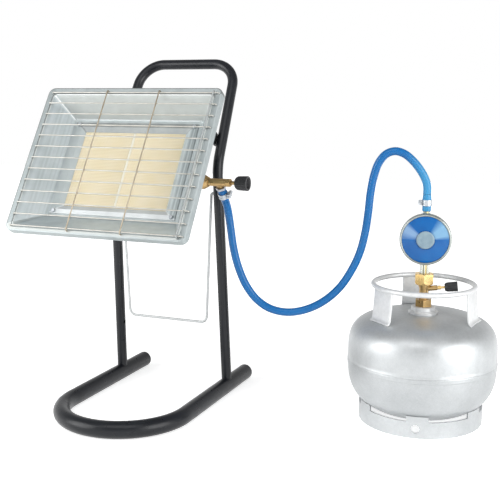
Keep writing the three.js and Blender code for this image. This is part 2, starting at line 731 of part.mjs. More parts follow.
// A fibre strip round both tiles and between them.
function tileGasket() {
  const high = -TILE_DEPTH;
  const low = high - TILE_THICKNESS;
  const width = TILE_WIDTH + 2 * GAP;
  const height = TILE_HEIGHT + 2 * GAP;
  const border = block([-packWidth / 2, packWidth / 2], [-packHeight / 2, packHeight / 2], [low, high]);
  const windows = [-1, 1].map((side) => {
    const middle = (side * (GASKET + width)) / 2;
    const across = [middle - width / 2, middle + width / 2];
    return block(across, [-height / 2, height / 2], [low - SKIN, high + SKIN]);
  });
  return piece("tile_gasket", cut(solidOf(border), ...windows), FIBRE);
}

const ledgeDepth = TILE_DEPTH + TILE_THICKNESS + GAP;
const chamberWidth = mouthWidth - 2 * TILE_LEDGE;
const chamberHeight = mouthHeight - 2 * TILE_LEDGE;
const boxSide = chamberWidth / 2 + SHEET;

const bracketScrewPlaces = [-1, 1].flatMap((side) =>
  [BRACKET_BOTTOM, BRACKET_TOP].map((y, i) => [
    side * (earFace - BRACKET_SHEET - BRACKET_SCREW_INSET),
    y + (i ? -1 : 1) * (BRACKET_TOP - BRACKET_BOTTOM) * 0.25,
  ]),
);

function bracketScrewHoles() {
  return bracketScrewPlaces.map(([x, y]) =>
    rod(SCREW_RADIUS + GAP, -REACH, -ledgeDepth - SHEET - SKIN, 8).translate(x, y, 0),
  );
}

function burnerBox() {
  const mouth = (grow) => outline(mouthWidth, mouthHeight, SHEET / 2, grow);
  const chamber = (grow) => outline(chamberWidth, chamberHeight, BOX_CORNER_RADIUS, grow);
  const flange = outline(DISH_FLOOR_WIDTH, DISH_FLOOR_HEIGHT, DISH_CORNER_RADIUS, -TILE_FRAME_MARGIN);
  const whole = joined(
    extruded(flange, -boxFlangeDepth - SHEET, -boxFlangeDepth),
    extruded(mouth(SHEET), -ledgeDepth - SHEET, -boxFlangeDepth - SHEET / 2),
    extruded(chamber(SHEET), -BOX_DEPTH, -ledgeDepth - SHEET / 2),
  );
  const venturiHole = alongX(rod(VENTURI_DIAMETER / 2 + GAP, 0, boxSide + SKIN, 16));
  return piece(
    "burner_box",
    cut(
      whole,
      extruded(mouth(0), -ledgeDepth, SKIN),
      extruded(chamber(0), -BOX_DEPTH + SHEET, SKIN),
      venturiHole.translate(0, VALVE_UP, -VALVE_BACK),
      ...frameScrewHoles(),
      ...bracketScrewHoles(),
    ),
    GALVANISED,
  );
}

function tiltBracket() {
  const front = BOX_DEPTH + GAP;
  const back = front + BRACKET_SHEET;
  const base = block([-earFace, earFace], [BRACKET_BOTTOM, BRACKET_TOP], [-back, -front]);
  const rear = TILT_DEPTH_BEHIND_RIM;
  const up = TILT_HEIGHT_OVER_BURNER;
  const ear = [
    [front, BRACKET_BOTTOM],
    [rear - EAR_STRAIGHT, up - EAR_RADIUS],
  ];
  for (let i = 0; i <= 6; i++) {
    const angle = Math.PI * (i / 6);
    ear.push([rear + EAR_RADIUS * Math.sin(angle), up - EAR_RADIUS * Math.cos(angle)]);
  }
  ear.push([rear - EAR_STRAIGHT, up + EAR_RADIUS], [front, BRACKET_TOP]);
  const shape = ear.map((place) => new THREE.Vector2(...place));
  const earPlate = (low) => extruded(shape, 0, BRACKET_SHEET).rotateY(Math.PI / 2).translate(low, 0, 0);
  const hole = alongX(rod(tiltBoltRadius + HINGE_CLEARANCE, -REACH, REACH, 12));
  return piece(
    "tilt_bracket",
    cut(
      joined(base, earPlate(earFace - BRACKET_SHEET), earPlate(-earFace)),
      hole.translate(0, up, -rear),
      ...bracketScrewHoles(),
    ),
    BLACK_PAINT,
  );
}

// ---------------------------------------------------------------- wire guard

const guardRadius = GUARD_WIRE_DIAMETER / 2;
const GUARD_SIDES = 5;
const guardTop = windowHeight / 2 + GUARD_END_LAP - windowDrop;
const guardBottom = -windowHeight / 2 - GUARD_END_LAP - windowDrop;
const guardPitch = (guardTop - guardBottom - 2 * GUARD_OVERHANG) / (GUARD_ROWS - 1);
const guardRow = (i) => guardBottom + GUARD_OVERHANG + i * guardPitch;
const guardRows = Array.from({ length: GUARD_ROWS }, (_, i) => guardRow(i));
const guardLeft = GUARD_ASIDE - windowWidth / 2 - GUARD_SIDE_LAP;
const guardRight = GUARD_ASIDE + windowWidth / 2 + GUARD_SIDE_LAP;
const guardUprights = GUARD_UPRIGHTS.map((place) => (place * windowWidth) / 2);

function guardHoles() {
  const hole = (x, y) => rod(guardRadius + 2 * GAP, -GUARD_ROOT - SKIN, SKIN, 8).translate(x, y, 0);
  return guardUprights.flatMap((x) => [hole(x, guardBottom), hole(x, guardTop)]);
}

function wireGuard() {
  const bends = [GUARD_BEND_RADIUS, GUARD_BEND_RADIUS];
  const standoff = GUARD_STANDOFF + GUARD_WIRE_DIAMETER * 0.85; // the upright wires cross in front
  const wires = guardRows.map((y) => {
    const corners = [
      [guardLeft, y, GAP],
      [guardLeft, y, GUARD_STANDOFF],
      [guardRight, y, GUARD_STANDOFF],
      [guardRight, y, GAP],
    ];
    const path = new BentPath(corners, bends, 2);
    return solidOf(swept(path, path.steps, guardRadius, GUARD_SIDES));
  });
  for (const x of guardUprights) {
    const corners = [
      [x, guardBottom, -GUARD_ROOT],
      [x, guardBottom, standoff],
      [x, guardTop, standoff],
      [x, guardTop, -GUARD_ROOT],
    ];
    const path = new BentPath(corners, bends, 2);
    wires.push(solidOf(swept(path, path.steps, guardRadius, GUARD_SIDES)));
  }
  return piece("wire_guard", wasm.Manifold.union(wires), BRIGHT_WIRE);
}

// ---------------------------------------------------------------- heater valve
// In the valve's frame X runs along its axis, away from the burner box.

const valveEnd = VALVE_BODY_START + VALVE_BODY_LENGTH;
const glandEnd = valveEnd + GAP + GLAND_NUT_LENGTH;
const knobStart = glandEnd + SPINDLE_EXPOSED;
const spindleRadius = SPINDLE_DIAMETER / 2;
const venturiFlange = boxSide + GAP;
const shroudStart = venturiFlange + SHEET + GAP;
const shroudEnd = VALVE_BODY_START + SHROUD_SOCKET;

function venturiTube() {
  const radius = VENTURI_DIAMETER / 2;
  const bore = radius - VENTURI_WALL;
  const flange = VENTURI_FLANGE_DIAMETER / 2;
  const profile = closed([
    [bore, venturiFlange - VENTURI_LENGTH],
    [radius, venturiFlange - VENTURI_LENGTH],
    [radius, venturiFlange],
    [flange, venturiFlange],
    [flange, venturiFlange + SHEET],
    [bore, venturiFlange + SHEET],
  ]);
  return piece("venturi_tube", alongX(turned(profile, 16)), STEEL);
}

// A brass cup that carries the valve and lets air in round the injector.
function airShroud() {
  const outer = SHROUD_DIAMETER / 2;
  const socket = VALVE_BODY_DIAMETER / 2 + GAP;
  const coneStart = shroudEnd - SHROUD_CONE;
  const profile = closed([
    [outer - SHROUD_WALL, shroudStart],
    [outer, shroudStart],
    [outer, coneStart],
    [socket + SHROUD_WALL, shroudEnd],
    [socket, shroudEnd],
    [socket, VALVE_BODY_START - GAP],
    [outer - SHROUD_WALL, coneStart - SHROUD_WALL],
  ]);
  const holes = Array.from({ length: AIR_HOLES }, (_, i) =>
    rod(AIR_HOLE_DIAMETER / 2, 0, 2 * outer, 8)
      .translate((shroudStart + coneStart) / 2, 0, 0)
      .rotateX(((i + 0.5) * 2 * Math.PI) / AIR_HOLES),
  );
  return piece("air_shroud", cut(solidOf(alongX(turned(profile, 16))), ...holes), BRASS);
}

function injector() {
  const seat = VALVE_BODY_START - GAP;
  const radius = INJECTOR_DIAMETER / 2;
  const bore = INJECTOR_BORE / 2;
  const profile = closed([
    [bore, seat - INJECTOR_LENGTH],
    [radius * 0.6, seat - INJECTOR_LENGTH],
    [radius, seat - INJECTOR_LENGTH * 0.6],
    [radius, seat],
    [bore, seat],
  ]);
  return piece("injector", alongX(turned(profile, 12)), BRASS);
}

// Turns something made along Z so that it points down the hose tail.
const alongTail = (geometry) =>
  geometry.rotateX(Math.PI - TAIL_ANGLE).translate(VALVE_TAIL_PLACE, 0, 0);

function valveBody() {
  const radius = VALVE_BODY_DIAMETER / 2;
  const bar = alongX(
    turned(
      [
        [0, VALVE_BODY_START],
        [radius - SHEET, VALVE_BODY_START],
        [radius, VALVE_BODY_START + SHEET],
        [radius, valveEnd],
        [0, valveEnd],
      ],
      16,
    ),
  );
  const boss = alongTail(rod(VALVE_BOSS_DIAMETER / 2, 0, VALVE_BOSS_LENGTH, 12));
  const seat = alongX(rod(spindleRadius + GAP, valveEnd - SPINDLE_SEAT - GAP, valveEnd + SKIN, 12));
  return piece("heater_valve_body", cut(joined(bar, boss), seat), BRASS);
}

const tailNut = VALVE_BOSS_LENGTH + GAP;
const tailHoseStart = tailNut + TAIL_NUT_LENGTH + GAP;
const tailHoseEnd = tailHoseStart + HEATER_HOSE_END;
const barbRadius = HOSE_BORE / 2;

function hoseTail() {
  const barb = tube(barbRadius, BARB_BORE / 2, tailNut + GAP, tailHoseEnd - GAP, 12);
  const nut = cut(
    solidOf(hexRod(TAIL_NUT_ACROSS, tailNut, tailNut + TAIL_NUT_LENGTH)),
    rod(BARB_BORE / 2, -REACH, REACH, 12),
  );
  return piece("hose_tail", geometryOf(nut.add(solidOf(barb))), STEEL);
}

function glandNut() {
  const start = valveEnd + GAP;
  const nut = solidOf(hexRod(GLAND_NUT_ACROSS, start, glandEnd));
  const chamfer = turned(
    [
      [0, start - SKIN],
      [GLAND_NUT_ACROSS, start - SKIN],
      [GLAND_NUT_ACROSS, start + GLAND_NUT_LENGTH * 0.4],
      [GLAND_NUT_ACROSS * 0.36, glandEnd + SKIN / 2],
      [0, glandEnd + SKIN / 2],
    ],
    16,
  );
  const shaped = nut.intersect(solidOf(chamfer));
  const bored = cut(shaped, rod(spindleRadius + GAP, start - SKIN, glandEnd + SKIN, 12));
  return piece("gland_nut", alongX(geometryOf(bored)), BRASS);
}

function valveSpindle() {
  const start = valveEnd - SPINDLE_SEAT;
  const end = knobStart + KNOB_GRIP - GAP;
  return piece("heater_valve_spindle", alongX(rod(spindleRadius, start, end, 10)), BRASS);
}

// A ribbed knob about Z that widens a little towards its recessed outer end.
function ribbedKnob(diameter, length, ribs, start, spindle, grip) {
  const points = [];
  for (let i = 0; i < ribs; i++) {
    for (const [part, radius] of [
      [0, diameter / 2],
      [0.5, diameter / 2 - KNOB_GROOVE],
    ]) {
      const angle = ((i + part) * 2 * Math.PI) / ribs;
      points.push(new THREE.Vector2(radius * Math.cos(angle), radius * Math.sin(angle)));
    }
  }
  const waist = points.map((p) => p.clone().multiplyScalar(0.9));
  const shoulder = points.map((p) => p.clone().multiplyScalar(0.72));
  const neck = start + length * 0.14;
  const body = joined(lofted(shoulder, start, waist, neck), lofted(waist, neck, points, start + length));
  return cut(
    body,
    rod(diameter * 0.36, start + length - KNOB_RECESS, start + length + SKIN, 14),
    rod(spindle + GAP, start - SKIN, start + grip, 10),
  );
}

function heaterKnob() {
  const shape = ribbedKnob(
    HEATER_KNOB_DIAMETER,
    HEATER_KNOB_LENGTH,
    HEATER_KNOB_RIBS,
    knobStart,
    spindleRadius,
    KNOB_GRIP,
  );
  return piece("heater_knob", alongX(geometryOf(shape)), BLACK_PLASTIC);
}

// ---------------------------------------------------------------- hose ends and clamps

const swollenRadius = (HOSE_DIAMETER + HOSE_END_SWELL) / 2;

const hoseEnd = (name, start, length) =>
  piece(name, tube(swollenRadius, barbRadius + GAP, start, start + length, 14), BLUE_HOSE);

const clampRadius = swollenRadius + GAP;
const housingBase = clampRadius + CLAMP_THICKNESS * 0.5;
const clampScrewPlace = housingBase + CLAMP_HOUSING_HEIGHT / 2;

// A worm-drive band about Z, its housing on the +X side and its screw along Y.
function clampBand(name, middle) {
  const low = middle - CLAMP_WIDTH / 2;
  const high = middle + CLAMP_WIDTH / 2;
  const half = CLAMP_HOUSING_LENGTH / 2;
  const band = tube(clampRadius + CLAMP_THICKNESS, clampRadius, low, high, 14);
  const housing = block([housingBase, housingBase + CLAMP_HOUSING_HEIGHT], [-half, half], [low, high]);
  const bore = rod(CLAMP_SCREW_DIAMETER / 2 + GAP, -REACH, REACH, 10).rotateX(Math.PI / 2);
  const hollow = rod(clampRadius, low - SKIN, high + SKIN, 14);
  return piece(name, cut(joined(band, housing), bore.translate(clampScrewPlace, 0, middle), hollow), ZINC);
}

function clampScrew(name, middle) {
  const radius = CLAMP_SCREW_DIAMETER / 2;
  const start = -CLAMP_SCREW_LENGTH / 2;
  const head = CLAMP_HOUSING_LENGTH / 2 + GAP;
  const slot = block([-radius * 3, radius * 3], [-radius / 4, radius / 4], [head + 2.2, REACH]);
  const body = joined(rod(radius, start, head + SKIN / 2, 10), hexRod(6, head, head + 3));
  const made = geometryOf(cut(body, slot)).rotateX(Math.PI / 2);
  return piece(name, made.translate(clampScrewPlace, 0, middle), ZINC);
}

// ---------------------------------------------------------------- gas hose

function gasHose() {
  const points = HOSE_ROUTE.map((point) => new THREE.Vector3(...point));
  const start = heaterHoseEnd.localToWorld(new THREE.Vector3(0, 0, tailHoseEnd + GAP));
  const end = gasCylinder.localToWorld(new THREE.Vector3(0, 0, regulatorHoseEnd + GAP));
  const path = new THREE.CatmullRomCurve3([start, ...points, end], false, "centripetal");
  return piece("gas_hose", swept(path, HOSE_STEPS, HOSE_DIAMETER / 2, HOSE_SIDES), BLUE_HOSE);
}

// ---------------------------------------------------------------- gas cylinder
// In the cylinder's frame z = 0 is the floor and the regulator faces -Y.

const shellRadius = SHELL_DIAMETER / 2;
const SHELL_SIDES = 32;
const SHELL_INSIDE_SIDES = 16;
const END_STEPS = 7;

// The outline of a rounded end, from its rim to its pole: [radius, rise].
function roundedEnd(radius, rise, fullness) {
  return Array.from({ length: END_STEPS + 1 }, (_, i) => {
    const angle = (Math.PI / 2) * (i / END_STEPS);
    if (i === END_STEPS) return [0, rise];
    return [radius * Math.cos(angle) ** (2 / fullness), rise * Math.sin(angle) ** (2 / fullness)];
  });
}

function lowerEnd(grow) {
  const rise = SEAM_HEIGHT - SHELL_BOTTOM + grow;
  return roundedEnd(shellRadius + grow, rise, LOWER_END_FULLNESS).map(([r, z]) => [r, SEAM_HEIGHT - z]);
}

function upperEnd(grow) {
  const rise = CROWN_HEIGHT - SHOULDER_HEIGHT + grow;
  return roundedEnd(shellRadius + grow, rise, UPPER_END_FULLNESS).map(([r, z]) => [r, SHOULDER_HEIGHT + z]);
}

const lowerSolid = (grow) => turned([...lowerEnd(grow).reverse(), [0, SEAM_HEIGHT]], SHELL_SIDES);
const upperSolid = (grow, low, sides = SHELL_SIDES) =>
  turned([[0, low], [shellRadius + grow, low], ...upperEnd(grow)], sides);

function lowerShell() {
  const bead = tube(
    shellRadius + WELD_BEAD_HEIGHT,
    shellRadius - SHELL_WALL / 2,
    SEAM_HEIGHT - WELD_BEAD_WIDTH,
    SEAM_HEIGHT,
    SHELL_SIDES,
  );
  const bore = shellRadius - SHELL_WALL;
  const open = SEAM_HEIGHT + SKIN;
  const inside = turned(
    [...lowerEnd(-SHELL_WALL).reverse(), [bore, open], [0, open]],
    SHELL_INSIDE_SIDES,
  );
  return piece("cylinder_lower_shell", cut(joined(lowerSolid(0), bead), inside), SILVER_PAINT);
}

function upperShell() {
  const low = SEAM_HEIGHT + GAP;
  const inside = upperSolid(-SHELL_WALL, low - SKIN, SHELL_INSIDE_SIDES);
  const neck = rod(NECK_HOLE_DIAMETER / 2, CROWN_HEIGHT - REACH / 4, CROWN_HEIGHT + SKIN, 20);
  return piece("cylinder_upper_shell", cut(solidOf(upperSolid(0, low)), inside, neck), SILVER_PAINT);
}

// A sector of a ring about Z, as a cutter.
function ringSector(inner, outer, middle, arc, low, high) {
  const edge = (radius, from, to) =>
    Array.from({ length: 4 }, (_, i) => {
      const angle = from + ((to - from) * i) / 3;
      return new THREE.Vector2(radius * Math.cos(angle), radius * Math.sin(angle));
    });
  const start = middle - arc / 2;
  const end = middle + arc / 2;
  return extruded([...edge(outer, start, end), ...edge(inner, end, start)], low, high);
}

function footRing() {
  const radius = FOOT_RING_DIAMETER / 2;
  const cutters = [lowerSolid(2 * GAP)];
  for (let i = 0; i < FOOT_SLOTS; i++) {
    const middle = FOOT_SLOT_START + (i * 2 * Math.PI) / FOOT_SLOTS;
    cutters.push(
      ringSector(radius / 2, radius * 1.1, middle, FOOT_SLOT_ARC, FOOT_SLOT_FLOOR, FOOT_RING_TOP + SKIN),
    );
  }
  for (let i = 0; i < DRAIN_HOLES; i++) {
    const hole = alongX(rod(DRAIN_HOLE_DIAMETER / 2, radius / 2, radius * 1.1, 10));
    cutters.push(
      hole.rotateZ(DRAIN_HOLE_START + (i * 2 * Math.PI) / DRAIN_HOLES).translate(0, 0, DRAIN_HOLE_HEIGHT),
    );
  }
  const ring = tube(radius, radius - FOOT_RING_WALL, 0, FOOT_RING_TOP, SHELL_SIDES);
  return piece("foot_ring", cut(solidOf(ring), ...cutters), SILVER_PAINT);
}

function handleRing() {
  const ring = new THREE.TorusGeometry(HANDLE_RING_DIAMETER / 2, HANDLE_RING_ROD / 2, 8, 30);
  return piece("handle_ring", ring.translate(0, 0, HANDLE_RING_HEIGHT), SILVER_PAINT);
}

function handleStrap(name, index) {
  const radius = HANDLE_RING_DIAMETER / 2;
  const half = STRAP_WIDTH / 2;
  const place = Math.sqrt(radius ** 2 - (half * 0.6) ** 2);
  const upright = block(
    [-STRAP_THICKNESS / 2, STRAP_THICKNESS / 2],
    [-half, half],
    [SHOULDER_HEIGHT - HANDLE_RING_HEIGHT, 0],
  );
  const strap = solidOf(upright.rotateY(-STRAP_LEAN).translate(place, 0, HANDLE_RING_HEIGHT));
  const ring = new THREE.TorusGeometry(radius, HANDLE_RING_ROD / 2 + GAP, 10, 48);
  const above = block([0, REACH], [-REACH, REACH], [HANDLE_RING_HEIGHT - SKIN / 10, REACH]);
  const shape = cut(
    strap,
    ring.translate(0, 0, HANDLE_RING_HEIGHT),
    above,
    upperSolid(GAP, SEAM_HEIGHT),
  );
  const biggest = shape.decompose().sort((a, b) => b.volume() - a.volume())[0];
  const made = piece(name, biggest, SILVER_PAINT);
  made.rotation.z = STRAP_START + (index * 2 * Math.PI) / STRAPS;
  return made;
}

const bossTop = CROWN_HEIGHT + NECK_BOSS_HEIGHT;
const shankRadius = VALVE_SHANK_DIAMETER / 2;

function neckBoss() {
  const radius = NECK_BOSS_DIAMETER / 2;
  const bore = shankRadius + GAP;
  const collar = NECK_COLLAR_DIAMETER / 2;
  const step = CROWN_HEIGHT + NECK_STEP_HEIGHT;
  const profile = closed([
    [bore, SHOULDER_HEIGHT],
    [radius, SHOULDER_HEIGHT],
    [radius, step - SHEET],
    [radius - SHEET, step],
    [collar, step],
    [collar, bossTop - SHEET],
    [collar - SHEET, bossTop],
    [bore, bossTop],
  ]);
  return piece("neck_boss", cut(solidOf(turned(profile, 24)), upperSolid(GAP, SEAM_HEIGHT)), SILVER_PAINT);
}

const hexBottom = bossTop + GAP;
const hexTop = hexBottom + VALVE_HEX_HEIGHT;
const branchHeight = hexTop + BRANCH_HEIGHT;
const outletBottom = branchHeight + OUTLET_BOTTOM;
const outletTop = outletBottom + OUTLET_HEIGHT;
const branchRadius = BRANCH_DIAMETER / 2;
const branchSpindle = BRANCH_SPINDLE_DIAMETER / 2;
const branchGlandEnd = BRANCH_LENGTH + GAP + BRANCH_GLAND_LENGTH;
const cylinderKnobStart = branchGlandEnd + BRANCH_SPINDLE_EXPOSED;
const SEAT_DEPTH = 10; // of the cylinder spindle inside its branch

// Places something made along Z on the valve's side branch.
const alongBranch = (geometry) =>
  alongX(geometry).rotateY(-BRANCH_TILT).translate(0, 0, branchHeight);

function cylinderValve() {
  const stem = VALVE_STEM_DIAMETER / 2;
  const outlet = OUTLET_DIAMETER / 2;
  const body = joined(
    rod(shankRadius, hexBottom - VALVE_SHANK_LENGTH, hexBottom + SKIN, 16),
    hexRod(VALVE_HEX_ACROSS, hexBottom, hexTop),
    turned(
      [
        [0, hexTop - SKIN],
        [stem, hexTop - SKIN],
        [stem, outletBottom - stem],
        [outlet, outletBottom],
        [outlet, outletTop],
        [0, outletTop],
      ],
      16,
    ),
    alongBranch(rod(branchRadius, 0, BRANCH_LENGTH, 14)),
  );
  const gasWay = rod(BARB_BORE / 2, branchHeight, outletTop + SKIN, 10);
  const seatStart = BRANCH_LENGTH - SEAT_DEPTH - GAP;
  const seat = alongBranch(rod(branchSpindle + GAP, seatStart, BRANCH_LENGTH + SKIN, 10));
  return piece("cylinder_valve", cut(body, gasWay, seat), BRASS);
}

function branchGland() {
  const radius = BRANCH_GLAND_DIAMETER / 2;
  const ring = tube(radius, branchSpindle + GAP, BRANCH_LENGTH + GAP, branchGlandEnd, 12);
  return piece("cylinder_gland", alongBranch(ring), BRASS);
}

function cylinderSpindle() {
  const end = cylinderKnobStart + KNOB_GRIP - GAP;
  const made = alongBranch(rod(branchSpindle, BRANCH_LENGTH - SEAT_DEPTH, end, 10));
  return piece("cylinder_spindle", made, BRASS);
}

function cylinderKnob() {
  const shape = ribbedKnob(
    CYLINDER_KNOB_DIAMETER,
    CYLINDER_KNOB_LENGTH,
    CYLINDER_KNOB_RIBS,
    cylinderKnobStart,
    branchSpindle,
    KNOB_GRIP,
  );
  return piece("cylinder_knob", alongBranch(geometryOf(shape)), BLACK_PLASTIC);
}

// ---------------------------------------------------------------- regulator
// Turned about an axis that points at -Y: depth 0 is the diaphragm, positive towards the face.

const washerBottom = outletTop + GAP;
const collarBottom = washerBottom + WASHER_THICKNESS + GAP;
const collarTop = collarBottom + INLET_COLLAR_HEIGHT;
const nutTop = collarTop + GAP + COUPLING_NUT_WALL_TOP;
const nutBottom = nutTop - COUPLING_NUT_HEIGHT;
const inletRadius = INLET_STEM_DIAMETER / 2;
const rimRadius = REGULATOR_RIM_DIAMETER / 2;
const faceRadius = REGULATOR_FACE_DIAMETER / 2;
const seatRadius = rimRadius - COVER_WALL - GAP;
const regulatorHeight = nutTop + INLET_STEM_LENGTH + rimRadius;

const facing = (geometry) => alongMinusY(geometry).translate(0, -REGULATOR_MIDDLE, regulatorHeight);

function sealingWasher() {
  const radius = OUTLET_DIAMETER / 2;
  const ring = tube(radius, BARB_BORE / 2, washerBottom, washerBottom + WASHER_THICKNESS, 16);
  return piece("sealing_washer", ring, RUBBER);
}

function couplingNut() {
  const outlet = OUTLET_DIAMETER / 2 + GAP;
  const nut = cut(
    solidOf(hexRod(COUPLING_NUT_ACROSS, nutBottom, nutTop)),
    rod(outlet, nutBottom - SKIN, collarTop + GAP, 16),
    rod(inletRadius + GAP, nutBottom, nutTop + SKIN, 16),
  );
  const half = COUPLING_NUT_ACROSS / 2;
  const rounding = turned(
    [
      [0, nutBottom - SKIN],
      [half * 0.95, nutBottom - SKIN],
      [half * 1.2, nutBottom + COUPLING_NUT_HEIGHT * 0.3],
      [half * 1.2, nutTop - COUPLING_NUT_HEIGHT * 0.15],
      [half * 0.98, nutTop + SKIN],
      [0, nutTop + SKIN],
    ],
    20,
  );
  return piece("coupling_nut", nut.intersect(solidOf(rounding)), BRASS);
}

const barbStart = regulatorHeight + rimRadius + OUTLET_NECK_LENGTH;
const regulatorHoseStart = barbStart + GAP;
const regulatorHoseEnd = regulatorHoseStart + REGULATOR_HOSE_END;

function regulatorBody() {
  const backRadius = REGULATOR_BODY_BACK_DIAMETER / 2;
  const flat = -REGULATOR_FLANGE;
  const back = -REGULATOR_BODY_DEPTH;
  const cup = facing(
    turned(
      [
        [0, back],
        [backRadius * 0.8, back],
        [backRadius, back + backRadius * 0.2],
        [seatRadius - REGULATOR_WALL, flat],
        [seatRadius, flat],
        [seatRadius, -GAP],
        [0, -GAP],
      ],
      24,
    ),
  );
  const inlet = rod(inletRadius, collarBottom, regulatorHeight - backRadius * 0.6, 16);
  const collar = rod(INLET_COLLAR_DIAMETER / 2, collarBottom, collarTop, 16);
  const neck = rod(OUTLET_NECK_DIAMETER / 2, regulatorHeight + backRadius * 0.6, barbStart, 12);
  const barb = rod(barbRadius, barbStart - SKIN, regulatorHoseEnd - GAP, 12);
  const chamber = facing(
    turned(
      [
        [0, back + REGULATOR_WALL],
        [backRadius * 0.8, back + REGULATOR_WALL],
        [seatRadius - 3 * REGULATOR_WALL, flat],
        [seatRadius - 3 * REGULATOR_WALL, SKIN],
        [0, SKIN],
      ],
      16,
    ),
  );
  const gasWay = rod(BARB_BORE / 2, regulatorHeight - REACH / 4, regulatorHeight + REACH / 4, 10);
  return piece("regulator_body", cut(joined(cup, inlet, collar, neck, barb), chamber, gasWay), ZINC);
}

function diaphragm() {
  const disc = rod(seatRadius - GAP, 0, DIAPHRAGM_THICKNESS, 20);
  return piece("regulator_diaphragm", facing(disc), RUBBER);
}

// The front half of the housing: a ring crimped over the body's flange.
function regulatorCover() {
  const base = DIAPHRAGM_THICKNESS + GAP;
  const inner = rimRadius - COVER_WALL;
  const front = base + COVER_DEPTH;
  const profile = closed([
    [inner, -REGULATOR_FLANGE - GAP],
    [rimRadius, -REGULATOR_FLANGE - GAP],
    [rimRadius, front - COVER_WALL],
    [rimRadius - COVER_WALL, front],
    [faceRadius + GAP, front],
    [faceRadius + GAP, front - 2 * FACE_THICKNESS],
    [faceRadius - 2 * COVER_WALL, front - 2 * FACE_THICKNESS],
    [faceRadius - 2 * COVER_WALL, base],
    [inner, base],
  ]);
  return piece("regulator_rim", facing(turned(profile, 28)), ZINC);
}

const faceSeat = DIAPHRAGM_THICKNESS + GAP + COVER_DEPTH - 2 * FACE_THICKNESS + GAP;
const faceFront = faceSeat + 2 * FACE_THICKNESS + 1.4; // it is slightly domed

function regulatorFace() {
  const cap = REGULATOR_CAP_DIAMETER / 2;
  const profile = [
    [0, faceSeat],
    [faceRadius, faceSeat],
    [faceRadius, faceSeat + FACE_THICKNESS],
    [faceRadius * 0.93, faceSeat + 2 * FACE_THICKNESS],
    [cap, faceFront],
    [0, faceFront],
  ];
  return piece("regulator_face", facing(turned(profile, 28)), BLUE_ENAMEL);
}

function regulatorCap() {
  const radius = REGULATOR_CAP_DIAMETER / 2;
  const low = faceFront + GAP;
  const profile = [
    [0, low],
    [radius, low],
    [radius, low + REGULATOR_CAP_HEIGHT * 0.6],
    [radius * 0.9, low + REGULATOR_CAP_HEIGHT],
    [0, low + REGULATOR_CAP_HEIGHT],
  ];
  return piece("regulator_cap", facing(turned(profile, 20)), GREY_PLASTIC);
}

// A coil of wire about Z with its ends ground flat.
class Helix extends THREE.Curve {
  constructor(radius, low, high, turns) {
    super();
    Object.assign(this, { radius, low, high, turns });
  }

  getPoint(t, target = new THREE.Vector3()) {
    const angle = t * this.turns * 2 * Math.PI;
    const height = THREE.MathUtils.lerp(this.low, this.high, t);
    return target.set(this.radius * Math.cos(angle), this.radius * Math.sin(angle), height);
  }
}

function regulatorSpring() {
  const wire = REGULATOR_SPRING_WIRE / 2;
  const low = DIAPHRAGM_THICKNESS + GAP + wire;
  const high = faceSeat - GAP - wire;
  const path = new Helix(REGULATOR_SPRING_DIAMETER / 2 - wire, low, high, REGULATOR_SPRING_TURNS);
  const coil = swept(path, REGULATOR_SPRING_TURNS * 8, wire * 0.9, 4);
  return piece("regulator_spring", facing(coil), STEEL);
}

// ---------------------------------------------------------------- the whole heater

const stand = groupOf(
  floorFoot(),
  footCap("foot_cap_left", -1),
  footCap("foot_cap_right", 1),
  frameTube(),
  wireBail(),
  tiltWasher("tilt_washer_left", -1),
  tiltWasher("tilt_washer_right", 1),
  tiltBolt("tilt_bolt_left", -1),
  tiltBolt("tilt_bolt_right", 1),
);

const heaterValve = groupOf(
  venturiTube(),
  airShroud(),
  injector(),
  valveBody(),
  glandNut(),
  valveSpindle(),
  heaterKnob(),
);
heaterValve.position.set(0, VALVE_UP, -VALVE_BACK);

const heaterHoseEnd = groupOf(
  hoseTail(),
  hoseEnd("hose_end_heater", tailHoseStart, HEATER_HOSE_END),
  clampBand("hose_clamp_heater", tailHoseStart + HEATER_HOSE_END / 2),
  clampScrew("clamp_screw_heater", tailHoseStart + HEATER_HOSE_END / 2),
);
heaterHoseEnd.position.set(VALVE_TAIL_PLACE, VALVE_UP, -VALVE_BACK);
heaterHoseEnd.rotation.x = Math.PI - TAIL_ANGLE;

const frameScrewSeat = -tileFrameDepth + GAP;
const frameScrewLength = 3 * SHEET + 4 * GAP + SCREW_TIP;
const bracketScrewSeat = BOX_DEPTH + GAP + BRACKET_SHEET + GAP;
const bracketScrewLength = BRACKET_SHEET + SHEET + 2 * GAP + SCREW_TIP;

const bracketScrews = bracketScrewPlaces.map(([x, y], i) => {
  const made = screw(`bracket_screw_${i + 1}`, [x, y], -bracketScrewSeat, bracketScrewLength);
  made.rotation.x = Math.PI;
  return made;
});

const frameScrews = frameScrewPlaces.map((place, i) =>
  screw(`tile_frame_screw_${i + 1}`, place, frameScrewSeat, frameScrewLength),
);

const head = groupOf(
  reflector(),
  tileFrame(),
  ceramicTile("ceramic_tile_left", -1),
  ceramicTile("ceramic_tile_right", 1),
  tileGasket(),
  burnerBox(),
  tiltBracket(),
  wireGuard(),
  ...frameScrews,
  ...bracketScrews,
  heaterValve,
  heaterHoseEnd,
);
head.position.set(0, -TILT_HEIGHT_OVER_BURNER, TILT_DEPTH_BEHIND_RIM);

const tiltingHead = groupOf(head);
tiltingHead.position.set(0, tiltPivot.y, tiltPivot.z);
tiltingHead.rotation.x = Math.PI / 2 - HEAD_LEAN;

const regulatorHose = groupOf(
  clampBand("hose_clamp_regulator", regulatorHoseStart + REGULATOR_HOSE_END / 2),
  clampScrew("clamp_screw_regulator", regulatorHoseStart + REGULATOR_HOSE_END / 2),
);
regulatorHose.rotation.z = Math.PI;

